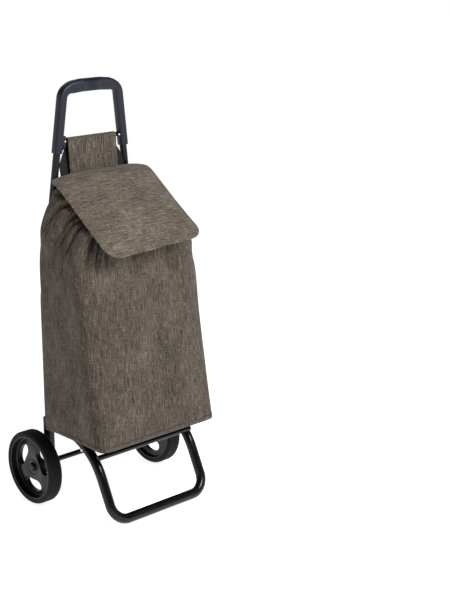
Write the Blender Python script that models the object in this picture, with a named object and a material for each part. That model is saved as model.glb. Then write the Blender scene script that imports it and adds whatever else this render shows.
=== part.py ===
"""Two-wheeled shopping trolley: steel tube frame, moulded handle, three-spoke wheels, fabric bag.

Metres, +Z up, -Y is the front, X = 0 is the plane of symmetry.  The origin lies on the ground
below the middle of the trolley.  Left is -X, as seen by a person who looks at the bag's front.
"""
from math import acos, atan, cos, pi, radians, sin, sqrt, tan

import bmesh
import bpy
from mathutils import Matrix, Vector

# --- Gaps -----------------------------------------------------------------------------------
GAP = 0.0003                # between pieces that touch or are welded
RUNNING_GAP = 0.0003        # radial, between the axle and what turns on it
HOLE_GAP = 0.0003           # radial, round a screw, bolt or rivet
CUT_PAST = 0.010            # how far a cutter runs past the piece that it cuts

# --- Wheels and axle ------------------------------------------------------------------------
WHEEL_D = 0.165
WHEEL_WIDTH = 0.033
TYRE_THICKNESS = 0.0105
TYRE_SHOULDER = 0.005
TYRE_KEY_WIDTH = 0.008      # rib round the rim that holds the tyre sideways
TYRE_KEY_HEIGHT = 0.002
RIM_WALL = 0.004
WEB_THICKNESS = 0.006
WEB_OFFSET = -0.003         # of the web's middle from the tyre's middle, outwards positive
HUB_D = 0.034
HUB_OUT = 0.0045            # hub's outer end from the tyre's middle
HUB_IN = 0.0175             # hub's inner end from the tyre's middle
HUB_DRAFT = 0.001           # hub wider at the web than at its ends, radial
RIM_FILLET = 0.004          # where the web meets the rim's wall
RIM_LIP = 0.001             # rim's edges inside the tyre's edges
WINDOW_HALF_ANGLE = radians(31)  # of an opening, seen from the axle
WINDOW_CORNER = 0.0135
WINDOW_MARGIN = 0.0115      # web left between an opening and the hub, and the rim's wall
AXLE_D = 0.012
BUSH_WALL = 0.0025
WASHER_D = 0.022
WASHER_THICKNESS = 0.0012
SPACER_WALL = 0.0025
SPACER_LENGTH = 0.0104
CAP_D = 0.020
CAP_HEIGHT = 0.006
CAP_ROOF = 0.0015
CAP_CROWN = 0.006           # flat end of the cap inside its rim, radial

# --- Posts and uprights -----------------------------------------------------------------------
FRAME_HALF = 0.1295         # frame tubes' centres from the plane of symmetry
POST_D = 0.024
POST_WALL = 0.0012
POST_TAIL = 0.020           # post below the axle's centre
POST_RISE = 0.002           # top of the collar's flange above the foot's level tubes
COLLAR_FLANGE = 0.0025
COLLAR_DEPTH = 0.060
PLUG_FLANGE = 0.003
PLUG_DEPTH = 0.009
FLANGE_CHAMFER = 0.0008     # on the flanges of plugs and collars
UPRIGHT_D = 0.016
UPRIGHT_WALL = 0.001
UPRIGHT_DEPTH = 0.070       # upright inside the post
STRAIGHT_RISE = 0.276       # collar's top to where the uprights start to lean
LEAN_IN = 0.1276            # towards the middle, per metre of height
LEAN_FORWARD = 0.034        # per metre of height
UPRIGHT_BEND_R = 0.200

# --- Foot -----------------------------------------------------------------------------------
FOOT_D = 0.022
FOOT_WALL = 0.0015
FOOT_REACH = 0.231          # foot bar's centre in front of the axle
FOOT_CLEARANCE = 0.022      # top of the level tubes that carry the bag, above the wheels' top
FOOT_SLOPE = radians(64)    # of the legs, from the ground
FOOT_BEND_R = 0.140
FOOT_CORNER_R = 0.038
CROSSBAR_D = 0.012
CROSSBAR_TURN = radians(47)  # along the leg's upper bend, from its rear end
RIVET_D = 0.005
RIVET_HEAD_D = 0.0085
RIVET_HEAD = 0.0022
RIVET_TURN = radians(31)
RIVET_DROP = 0.004          # below the leg's centre line
BOLT_D = 0.006
BOLT_HEAD_D = 0.0115
BOLT_HEAD = 0.004
BOLT_CHAMFER = 0.0008
BOLT_GRIP = 0.018           # bolt inside the leg
INSERT_LENGTH = 0.026

# --- Handle ---------------------------------------------------------------------------------
HANDLE_RISE = 0.311         # uprights' bend to the handle's lower ends
HANDLE_HEIGHT = 0.134       # lower ends to where the legs' and the grip's centre lines meet
HANDLE_CROWN = 0.009        # rise of the grip's centre line above that, before it is rounded
HANDLE_CORNER_R = 0.024
HANDLE_CROWN_R = 0.400
HANDLE_WALL = 0.0017
GRIP_HEIGHT = 0.027
HANDLE_ROUND = 0.006
SOCKET_DEPTH = 0.070        # upright inside the handle
ROD_D = 0.010
ROD_RISE = 0.024            # rod's centre above the handle's lower ends
ROD_SEAT = 0.0065
LUG_TIP = 0.070             # lugs' inner faces from the plane of symmetry
LUG_ROOT = 0.002            # lug inside the handle's leg
LUG_HEIGHT = 0.030
LUG_DEPTH = 0.016
LUG_CHAMFER = 0.010
LUG_ROUND = 0.003
SCREW_D = 0.0035
SCREW_HEAD_D = 0.007
SCREW_HEAD = 0.002
SCREW_LENGTH = 0.006
ROD_SCREW_D = 0.0025
ROD_SCREW_HEAD_D = 0.005
ROD_SCREW_HEAD = 0.0012

# --- Bag ------------------------------------------------------------------------------------
CLOTH = 0.0025
BAG_OVERHANG = 0.0175       # bag's sides beyond the foot's legs
BAG_FRONT = 0.230           # bag's lower front edge in front of the axle
BAG_REAR = 0.027            # bag's rear panel in front of the axle
BAG_LEAN = 0.157            # front panel backwards, per metre of height
BAG_SKIRT = 0.009           # fabric hanging below the bag's floor
SKIRT_SIDE = 0.012
SKIRT_FRONT = 0.025
BAG_SQUARENESS = (7, 6, 5, 4, 2.6)  # of each level's corners, from the hem to the neck
SHOULDER_TAPER = 0.004      # bag narrower at its shoulder than at its hem, on each side
SHOULDER_FRONT_DROP = 0.022  # below the flap's front edge
SHOULDER_REAR_DROP = 0.088  # below the flap's rear edge
CREST_HALF = 0.122
CREST_REAR = 0.046          # crest's rear edge in front of the axle
CREST_FRONT_RISE = 0.006    # above the flap's front edge
CREST_REAR_DROP = 0.006     # below the flap's rear edge
NECK_HALF = 0.082
NECK_FRONT = 0.150
NECK_REAR = 0.064
NECK_FRONT_RISE = 0.036     # above the flap's front edge
NECK_REAR_DROP = 0.022      # below the flap's rear edge
BOARD_THICKNESS = 0.003
BOARD_MARGIN = 0.008
BOARD_CORNER = 0.030
CREST_BULGE = 0.002         # crest behind the line of the front panel
FLAP_THICKNESS = 0.003
FLAP_HALF = 0.127
FLAP_REAR = 0.050
FLAP_FRONT = 0.229
FLAP_DROP = 0.134           # front edge below the rear edge
FLAP_CORNER = 0.040
FLAP_REAR_CORNER = 0.004
LOOP_HALF = 0.0645
LOOP_THICKNESS = 0.0025
LOOP_CLEARANCE = 0.0006
LOOP_DROP = 0.072           # flap's rear edge below the rod
LOOP_TAIL_DROP = 0.088      # tail's end below the flap's rear edge
LOOP_TAIL_LENGTH = 0.050    # part of the tail that lies against the bag
LOOP_FRONT_GAP = 0.004      # above the flap's rear edge
LOOP_FRONT_SET = 0.006      # behind the flap's rear edge
STUD_X = 0.045
STUD_RISE = 0.020           # above the tail's end
STUD_D = 0.004
STUD_HEAD_D = 0.012
STUD_HEAD = 0.0016
EYELET_D = 0.007
EYELET_FLANGE_D = 0.012
EYELET_WALL = 0.0008
EYELET_X = 0.014
EYELET_SHARE = 0.55         # eyelets' place between the crest and the neck
EYELET_STAND = 0.0006       # flange's underside above the cloth
EYELET_FLANGE = 0.0008
EYELET_REACH = 0.0012       # barrel's end behind the cloth

# --- Facets ---------------------------------------------------------------------------------
TUBE_SIDES = 12
ROD_SIDES = 16
WHEEL_SIDES = 32
SMALL_SIDES = 12
BEND_STEP = radians(15)
BAG_SIDES = 36

# --- Places that follow from the sizes --------------------------------------------------------
AXLE_Y = (FOOT_REACH + FOOT_D / 2 - WHEEL_D / 2) / 2
AXLE_Z = WHEEL_D / 2
TRACK = 2 * (FRAME_HALF + POST_D / 2 + GAP + SPACER_LENGTH + GAP + WASHER_THICKNESS + RUNNING_GAP + HUB_IN)
FOOT_TOP_Z = WHEEL_D + FOOT_CLEARANCE
FOOT_TUBE_Z = FOOT_TOP_Z - FOOT_D / 2
TYRE_INNER_R = WHEEL_D / 2 - TYRE_THICKNESS
HUB_BORE_R = AXLE_D / 2 + RUNNING_GAP + BUSH_WALL + GAP
CAP_IN = TRACK / 2 + HUB_OUT + RUNNING_GAP
CAP_OUT = CAP_IN + CAP_HEIGHT
AXLE_HALF = CAP_OUT - CAP_ROOF - GAP
BAG_FLOOR_Z = FOOT_TOP_Z + GAP
BAG_HEM_Z = BAG_FLOOR_Z - BAG_SKIRT
POST_TOP_Z = FOOT_TOP_Z + POST_RISE
BEND_Z = POST_TOP_Z + STRAIGHT_RISE
HANDLE_BOTTOM_Z = BEND_Z + HANDLE_RISE
HANDLE_CORNER_Z = HANDLE_BOTTOM_Z + HANDLE_HEIGHT
LEG_WIDTH = UPRIGHT_D + 2 * (GAP + HANDLE_WALL)
ROD_Z = HANDLE_BOTTOM_Z + ROD_RISE
FLAP_REAR_Z = ROD_Z - LOOP_DROP
FLAP_FRONT_Z = FLAP_REAR_Z - FLAP_DROP
BAG_HALF = FRAME_HALF + FOOT_D / 2 + BAG_OVERHANG
SHOULDER_HALF = BAG_HALF - SHOULDER_TAPER
SHOULDER_FRONT_Z = FLAP_FRONT_Z - SHOULDER_FRONT_DROP
LOOP_TAIL_Z = FLAP_REAR_Z - LOOP_TAIL_DROP
SIDES = (("left", -1), ("right", 1))


# --- Materials --------------------------------------------------------------------------------
def material(name, colour, roughness, metallic=0.0):
    made = bpy.data.materials.new(name)
    made.use_nodes = True
    shader = made.node_tree.nodes["Principled BSDF"]
    shader.inputs["Base Color"].default_value = (*colour, 1.0)
    shader.inputs["Roughness"].default_value = roughness
    shader.inputs["Metallic"].default_value = metallic
    made.diffuse_color = (*colour, 1.0)
    return made


# --- Modelling helpers --------------------------------------------------------------------------
def add_object(name, bm, mat, smooth_angle=30):
    """Make an object from a closed bmesh, with its faces turned outwards."""
    bmesh.ops.remove_doubles(bm, verts=bm.verts, dist=1e-6)
    bmesh.ops.dissolve_degenerate(bm, edges=bm.edges, dist=1e-7)
    bmesh.ops.recalc_face_normals(bm, faces=bm.faces)
    mesh = bpy.data.meshes.new(name)
    bm.to_mesh(mesh)
    bm.free()
    mesh.shade_smooth()
    mesh.set_sharp_from_angle(angle=radians(smooth_angle))
    obj = bpy.data.objects.new(name, mesh)
    bpy.context.scene.collection.objects.link(obj)
    if mat:
        mesh.materials.append(mat)
    return obj


def add_cutter(name, bm):
    """Make a hidden guide that only serves a Boolean."""
    obj = add_object(name, bm, None)
    obj.hide_render = True
    obj.display_type = "WIRE"
    return obj


def combine(obj, other, operation):
    modifier = obj.modifiers.new(other.name, "BOOLEAN")
    modifier.operation = operation
    modifier.solver = "EXACT"
    modifier.object = other


def turn_to(direction):
    """Rotation that takes +Z to the direction, and keeps +X level."""
    return Vector(direction).to_track_quat("Z", "Y").to_matrix().to_4x4()


def turned(profile, centre, direction, segments, step_offset=0.0):
    """Turn a profile of (along, radius) points round an axis through the centre."""
    bm = bmesh.new()
    verts = [bm.verts.new((radius, 0, along)) for along, radius in profile]
    edges = [bm.edges.new(pair) for pair in zip(verts, verts[1:])]
    if profile[0][1] > 0:
        edges.append(bm.edges.new((verts[-1], verts[0])))
    bmesh.ops.rotate(bm, verts=verts, cent=(0, 0, 0), matrix=Matrix.Rotation(step_offset, 3, "Z"))
    bmesh.ops.spin(bm, geom=verts + edges, cent=(0, 0, 0), axis=(0, 0, 1), angle=2 * pi,
                   steps=segments, use_merge=True)
    bmesh.ops.transform(bm, matrix=Matrix.Translation(centre) @ turn_to(direction), verts=bm.verts)
    return bm


def rod(start, end, radius, segments=SMALL_SIDES):
    """Solid cylinder between two points."""
    start = Vector(start)
    span = Vector(end) - start
    length = span.length
    return turned([(0, 0), (0, radius), (length, radius), (length, 0)], start, span, segments)


def headed_pin(start, direction, shank_r, length, head_r, head, segments=SMALL_SIDES):
    """Shank of a length from its head's underside, with a domed head behind the start."""
    profile = [(-head, 0), (-head, head_r * 0.6), (-head * 0.6, head_r * 0.9), (0, head_r),
               (0, shank_r), (length, shank_r), (length, 0)]
    return turned(profile, Vector(start), direction, segments)


def rounded_path(corners, radii, step=BEND_STEP):
    """Points along straight runs whose inner corners are arcs of the given radii."""
    corners = [Vector(corner) for corner in corners]
    points = [corners[0]]
    for before, corner, after, radius in zip(corners, corners[1:], corners[2:], radii):
        into = (corner - before).normalized()
        out = (after - corner).normalized()
        angle = acos(max(-1.0, min(1.0, into.dot(out))))
        tangent = radius * tan(angle / 2)
        normal = (out - into * into.dot(out)).normalized()
        centre = corner - into * tangent + normal * radius
        count = max(2, round(angle / step))
        for index in range(count + 1):
            turn = angle * index / count
            points.append(centre - normal * radius * cos(turn) + into * radius * sin(turn))
    points.append(corners[-1])
    return points


def pipe(corners, radii, outer_d, wall, side, sides=TUBE_SIDES):
    """Bent round tube, or a solid bar if wall is None; side is a direction across its start."""
    points = rounded_path(corners, radii)
    along = (points[1] - points[0]).normalized()
    across = Vector(side).normalized()
    bm = bmesh.new()
    rings = []
    for index, point in enumerate(points):
        if index + 1 < len(points):
            following = (points[index + 1] - point).normalized()
        else:
            following = along
        plane = (along + following).normalized()
        stretch = 1 / max(0.5, plane.dot(along))
        up = along.cross(across)
        bend = (following - along)
        ring = []
        for level in ([outer_d / 2] if wall is None else [outer_d / 2, outer_d / 2 - wall]):
            loop = []
            for k in range(sides):
                angle = 2 * pi * (k + 0.5) / sides
                offset = (across * cos(angle) + up * sin(angle)) * level
                if bend.length > 1e-9:
                    inward = (bend - plane * bend.dot(plane)).normalized()
                    offset += inward * offset.dot(inward) * (stretch - 1)
                    offset -= plane * offset.dot(plane)
                loop.append(bm.verts.new(point + offset))
            ring.append(loop)
        rings.append(ring)
        turn = along.rotation_difference(following)
        across = turn @ across
        along = following
    for ring, after in zip(rings, rings[1:]):
        for loop, next_loop in zip(ring, after):
            bridge(bm, loop, next_loop)
    for end in (rings[0], rings[-1]):
        if wall is None:
            bm.faces.new(end[0])
        else:
            bridge(bm, end[0], end[1])
    return bm


def bridge(bm, loop, next_loop):
    count = len(loop)
    for k in range(count):
        bm.faces.new((loop[k], loop[(k + 1) % count], next_loop[(k + 1) % count], next_loop[k]))


def loft(rings):
    """Closed body through rings of points, each with as many points as the next."""
    bm = bmesh.new()
    loops = [[bm.verts.new(point) for point in ring] for ring in rings]
    for loop, next_loop in zip(loops, loops[1:]):
        bridge(bm, loop, next_loop)
    bm.faces.new(loops[0])
    bm.faces.new(loops[-1])
    return bm


def slab(outline, thickness_vector):
    """Flat outline pushed out along a vector."""
    bm = bmesh.new()
    face = bm.faces.new([bm.verts.new(point) for point in outline])
    pushed = bmesh.ops.extrude_face_region(bm, geom=[face], use_keep_orig=True)
    verts = [item for item in pushed["geom"] if isinstance(item, bmesh.types.BMVert)]
    bmesh.ops.translate(bm, verts=verts, vec=thickness_vector)
    return bm


def box(low, high):
    bm = bmesh.new()
    bmesh.ops.create_cube(bm, size=1)
    low = Vector(low)
    size = Vector(high) - low
    bmesh.ops.scale(bm, verts=bm.verts, vec=size)
    bmesh.ops.translate(bm, verts=bm.verts, vec=low + size / 2)
    return bm


def rounded_rectangle(width, height, radius, steps=2):
    """Points of a rectangle with round corners, centred on the origin."""
    points = []
    for k, (sx, sy) in enumerate(((1, 1), (-1, 1), (-1, -1), (1, -1))):
        for index in range(steps + 1):
            angle = pi / 2 * (k + index / steps)
            points.append((sx * (width / 2 - radius) + radius * cos(angle),
                           sy * (height / 2 - radius) + radius * sin(angle)))
    return points


# --- Frame --------------------------------------------------------------------------------------
def upright_point(side, z):
    """Centre of an upright at a height above its bend."""
    rise = z - BEND_Z
    return Vector((side * (FRAME_HALF - LEAN_IN * rise), AXLE_Y - LEAN_FORWARD * rise, z))


def foot_corners():
    """Centre line of the foot from the right post to the left post, and its bend radii."""
    bar_z = FOOT_D / 2 * cos(pi / TUBE_SIDES)
    corner_y = AXLE_Y - FOOT_REACH + (FOOT_TUBE_Z - bar_z) / tan(FOOT_SLOPE)
    half = [Vector((FRAME_HALF, AXLE_Y, FOOT_TUBE_Z)), Vector((FRAME_HALF, corner_y, FOOT_TUBE_Z)),
            Vector((FRAME_HALF, AXLE_Y - FOOT_REACH, bar_z))]
    mirrored = [Vector((-point.x, point.y, point.z)) for point in reversed(half)]
    return half + mirrored, [FOOT_BEND_R, FOOT_CORNER_R, FOOT_CORNER_R, FOOT_BEND_R]


def leg_bend_point(turn, outwards):
    """Y and Z on the leg's upper bend, at a turn from its rear end."""
    corners, _ = foot_corners()
    centre_y = corners[1].y + FOOT_BEND_R * tan(FOOT_SLOPE / 2)
    centre_z = FOOT_TUBE_Z - FOOT_BEND_R
    reach = FOOT_BEND_R + outwards
    return centre_y - reach * sin(turn), centre_z + reach * cos(turn)


def build_frame(steel, plastic, zinc):
    add_object("axle", rod((-AXLE_HALF, AXLE_Y, AXLE_Z), (AXLE_HALF, AXLE_Y, AXLE_Z), AXLE_D / 2,
                           ROD_SIDES), steel)
    axle_hole = add_cutter("axle_hole", rod((-TRACK / 2, AXLE_Y, AXLE_Z), (TRACK / 2, AXLE_Y, AXLE_Z),
                                            AXLE_D / 2 + GAP, ROD_SIDES))
    corners, radii = foot_corners()
    # The turn lays one facet of the bar flat on the ground.
    turn = (pi / 2 - FOOT_SLOPE) % (2 * pi / TUBE_SIDES)
    foot = add_object("foot_tube", pipe(corners, radii, FOOT_D, FOOT_WALL, (cos(turn), 0, -sin(turn))),
                      steel)
    crossbar_y, crossbar_z = leg_bend_point(CROSSBAR_TURN, FOOT_D / 2 + CROSSBAR_D / 2 + GAP)
    crossbar_half = FRAME_HALF + FOOT_D / 2
    add_object("foot_crossbar", rod((-crossbar_half, crossbar_y, crossbar_z),
                                    (crossbar_half, crossbar_y, crossbar_z), CROSSBAR_D / 2), steel)
    post_inner_r = POST_D / 2 - POST_WALL
    post_bottom = AXLE_Z - POST_TAIL
    post_top = POST_TOP_Z - COLLAR_FLANGE - GAP
    for name, side in SIDES:
        x = side * FRAME_HALF
        centre = Vector((x, AXLE_Y, 0))
        at_bolt = Vector((x, AXLE_Y, FOOT_TUBE_Z))
        bolt_start = at_bolt + Vector((0, POST_D / 2 + GAP, 0))
        bolt_length = POST_D + GAP + BOLT_GRIP
        bolt_hole = add_cutter(f"{name}_bolt_hole", rod(
            bolt_start + Vector((0, BOLT_HEAD, 0)),
            bolt_start - Vector((0, bolt_length + GAP, 0)), BOLT_D / 2 + HOLE_GAP))

        post = add_object(f"{name}_post", pipe(
            [(x, AXLE_Y, post_bottom), (x, AXLE_Y, post_top)], [], POST_D, POST_WALL, (1, 0, 0)), steel)
        combine(post, axle_hole, "DIFFERENCE")
        combine(post, bolt_hole, "DIFFERENCE")

        spigot_r = post_inner_r - GAP
        add_object(f"{name}_post_plug", turned(
            [(-PLUG_FLANGE - GAP, 0), (-PLUG_FLANGE - GAP, POST_D / 2 - FLANGE_CHAMFER),
             (-PLUG_FLANGE - GAP + FLANGE_CHAMFER, POST_D / 2), (-GAP, POST_D / 2), (-GAP, spigot_r),
             (PLUG_DEPTH, spigot_r), (PLUG_DEPTH, 0)],
            centre + Vector((0, 0, post_bottom)), (0, 0, 1), TUBE_SIDES, pi / TUBE_SIDES), plastic)

        collar_r = UPRIGHT_D / 2 + GAP
        collar = add_object(f"{name}_post_collar", turned(
            [(-COLLAR_DEPTH, collar_r), (-COLLAR_DEPTH, spigot_r), (-COLLAR_FLANGE, spigot_r),
             (-COLLAR_FLANGE, POST_D / 2), (-FLANGE_CHAMFER, POST_D / 2),
             (0, POST_D / 2 - FLANGE_CHAMFER),
             (0, collar_r)],
            centre + Vector((0, 0, POST_TOP_Z)), (0, 0, 1), TUBE_SIDES, pi / TUBE_SIDES), plastic)
        combine(collar, bolt_hole, "DIFFERENCE")

        rise = SOCKET_DEPTH / sqrt(1 + LEAN_IN ** 2 + LEAN_FORWARD ** 2)
        upright = add_object(f"{name}_upright", pipe(
            [(x, AXLE_Y, POST_TOP_Z - UPRIGHT_DEPTH), (x, AXLE_Y, BEND_Z),
             upright_point(side, HANDLE_BOTTOM_Z + rise)],
            [UPRIGHT_BEND_R], UPRIGHT_D, UPRIGHT_WALL, (1, 0, 0)), steel)
        combine(upright, bolt_hole, "DIFFERENCE")

        cope = add_cutter(f"{name}_foot_cope", rod(
            at_bolt - Vector((0, 0, FOOT_D)), at_bolt + Vector((0, 0, FOOT_D)),
            POST_D / 2 + GAP, 2 * TUBE_SIDES))
        combine(foot, cope, "DIFFERENCE")

        insert_r = FOOT_D / 2 - FOOT_WALL - GAP
        insert = add_object(f"{name}_foot_insert", pipe(
            [at_bolt - Vector((0, POST_D / 4, 0)), at_bolt - Vector((0, POST_D / 2 + INSERT_LENGTH, 0))],
            [], 2 * insert_r, None, (1, 0, 0)), zinc)
        combine(insert, cope, "DIFFERENCE")
        combine(insert, bolt_hole, "DIFFERENCE")

        add_object(f"{name}_foot_bolt", turned(
            [(-BOLT_HEAD, 0), (-BOLT_HEAD, BOLT_HEAD_D / 2 - BOLT_CHAMFER),
             (-BOLT_HEAD + BOLT_CHAMFER, BOLT_HEAD_D / 2),
             (0, BOLT_HEAD_D / 2), (0, BOLT_D / 2), (bolt_length, BOLT_D / 2), (bolt_length, 0)],
            bolt_start, (0, -1, 0), SMALL_SIDES), zinc)

        rivet_y, rivet_z = leg_bend_point(RIVET_TURN, -RIVET_DROP)
        rivet_face = x + side * FOOT_D / 2
        rivet_length = FOOT_D / 2
        add_object(f"{name}_leg_rivet", headed_pin(
            (rivet_face + side * GAP, rivet_y, rivet_z), (-side, 0, 0), RIVET_D / 2, rivet_length,
            RIVET_HEAD_D / 2, RIVET_HEAD), zinc)
        rivet_hole = add_cutter(f"{name}_rivet_hole", rod(
            (rivet_face + side * CUT_PAST, rivet_y, rivet_z),
            (rivet_face - side * (rivet_length + GAP), rivet_y, rivet_z), RIVET_D / 2 + HOLE_GAP))
        combine(foot, rivet_hole, "DIFFERENCE")


# --- Wheels -------------------------------------------------------------------------------------
def spoke_window(side, index):
    """Cutter for one of the three openings between the spokes, with round corners."""
    inner = HUB_D / 2 + WINDOW_MARGIN
    outer = TYRE_INNER_R - GAP - RIM_WALL - WINDOW_MARGIN
    corners = []
    for radius, ends in ((inner, (-1, 1)), (outer, (1, -1))):
        for step in range(3):
            angle = WINDOW_HALF_ANGLE * (ends[0] + (ends[1] - ends[0]) * step / 2)
            corners.append(Vector((radius * sin(angle), -radius * cos(angle), 0)))
    loop = rounded_loop(corners, WINDOW_CORNER)
    bm = slab([Vector((point.x, point.y, -WHEEL_WIDTH)) for point in loop],
              Vector((0, 0, 2 * WHEEL_WIDTH)))
    spin = Matrix.Rotation(index * 2 * pi / 3, 4, "X")
    towards_ground = Matrix.Rotation(pi / 2, 4, "X")
    centre = Matrix.Translation((side * TRACK / 2, AXLE_Y, AXLE_Z))
    stand = towards_ground @ Matrix.Rotation(pi / 2, 4, "Y")
    bmesh.ops.transform(bm, matrix=centre @ spin @ stand, verts=bm.verts)
    return bm


def rounded_loop(corners, radius):
    """Closed outline with its sharp corners cut by short arcs."""
    points = []
    count = len(corners)
    for k, corner in enumerate(corners):
        before = corners[k - 1]
        after = corners[(k + 1) % count]
        into = (corner - before).normalized()
        out = (after - corner).normalized()
        if into.dot(out) > 0.6:
            points.append(corner)
            continue
        reach = min(radius, (corner - before).length * 0.45, (after - corner).length * 0.45)
        for step in range(4):
            share = step / 3
            start = corner - into * reach
            end = corner + out * reach
            points.append((1 - share) ** 2 * start + 2 * share * (1 - share) * corner + share ** 2 * end)
    return points


def build_wheel(name, side, tyre_mat, rim_mat, plastic, zinc):
    middle = Vector((side * TRACK / 2, AXLE_Y, AXLE_Z))
    outwards = (side, 0, 0)
    half = WHEEL_WIDTH / 2
    wheel_r = WHEEL_D / 2
    key_half = TYRE_KEY_WIDTH / 2
    key_r = TYRE_INNER_R + TYRE_KEY_HEIGHT
    shoulder = [(half - TYRE_SHOULDER * (1 - cos(angle)), wheel_r - TYRE_SHOULDER * (1 - sin(angle)))
                for angle in (0, pi / 4, pi / 2)]
    tyre_profile = ([(half, TYRE_INNER_R)] + shoulder
                    + [(-along, radius) for along, radius in reversed(shoulder)]
                    + [(-half, TYRE_INNER_R), (-key_half - GAP, TYRE_INNER_R), (-key_half - GAP, key_r + GAP),
                       (key_half + GAP, key_r + GAP), (key_half + GAP, TYRE_INNER_R)])
    add_object(f"{name}_tyre", turned(tyre_profile, middle, outwards, WHEEL_SIDES), tyre_mat)

    seat_r = TYRE_INNER_R - GAP
    wall_r = seat_r - RIM_WALL
    web_out = WEB_OFFSET + WEB_THICKNESS / 2
    web_in = WEB_OFFSET - WEB_THICKNESS / 2
    rim_half = half - RIM_LIP
    hub_r = HUB_D / 2
    rim_profile = [(HUB_OUT, HUB_BORE_R), (HUB_OUT, hub_r), (web_out, hub_r + HUB_DRAFT),
                   (web_out, wall_r - RIM_FILLET), (web_out + RIM_FILLET, wall_r),
                   (rim_half, wall_r + RIM_LIP),
                   (rim_half, seat_r), (key_half, seat_r), (key_half, key_r - GAP),
                   (-key_half, key_r - GAP), (-key_half, seat_r), (-rim_half, seat_r),
                   (-rim_half, wall_r + RIM_LIP), (web_in - RIM_FILLET, wall_r),
                   (web_in, wall_r - RIM_FILLET), (web_in, hub_r + HUB_DRAFT), (-HUB_IN, hub_r),
                   (-HUB_IN, HUB_BORE_R)]
    rim = add_object(f"{name}_rim", turned(rim_profile, middle, outwards, WHEEL_SIDES), rim_mat)
    for index in range(3):
        combine(rim, add_cutter(f"{name}_window_{index}", spoke_window(side, index)), "DIFFERENCE")

    axle_r = AXLE_D / 2 + RUNNING_GAP
    bush_r = axle_r + BUSH_WALL
    add_object(f"{name}_wheel_bush", turned(
        [(-HUB_IN, axle_r), (-HUB_IN, bush_r), (HUB_OUT, bush_r), (HUB_OUT, axle_r)],
        middle, outwards, ROD_SIDES), plastic)

    washer_out = -HUB_IN - RUNNING_GAP
    washer_in = washer_out - WASHER_THICKNESS
    add_object(f"{name}_axle_washer", turned(
        [(washer_in, axle_r), (washer_in, WASHER_D / 2), (washer_out, WASHER_D / 2), (washer_out, axle_r)],
        middle, outwards, ROD_SIDES), zinc)

    spacer_out = washer_in - GAP
    spacer_in = spacer_out - SPACER_LENGTH
    add_object(f"{name}_axle_spacer", turned(
        [(spacer_in, axle_r), (spacer_in, axle_r + SPACER_WALL), (spacer_out, axle_r + SPACER_WALL),
         (spacer_out, axle_r)],
        middle, outwards, ROD_SIDES), plastic)

    grip_r = AXLE_D / 2 + GAP
    add_object(f"{name}_axle_cap", turned(
        [(0, grip_r), (0, CAP_D / 2), (CAP_HEIGHT * 0.4, CAP_D / 2),
         (CAP_HEIGHT * 0.8, CAP_D / 2 - CAP_CROWN / 3), (CAP_HEIGHT, CAP_D / 2 - CAP_CROWN),
         (CAP_HEIGHT, 0), (CAP_HEIGHT - CAP_ROOF, 0),
         (CAP_HEIGHT - CAP_ROOF, grip_r)],
        middle + Vector((side * (CAP_IN - TRACK / 2), 0, 0)), outwards, ROD_SIDES), plastic)


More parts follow.
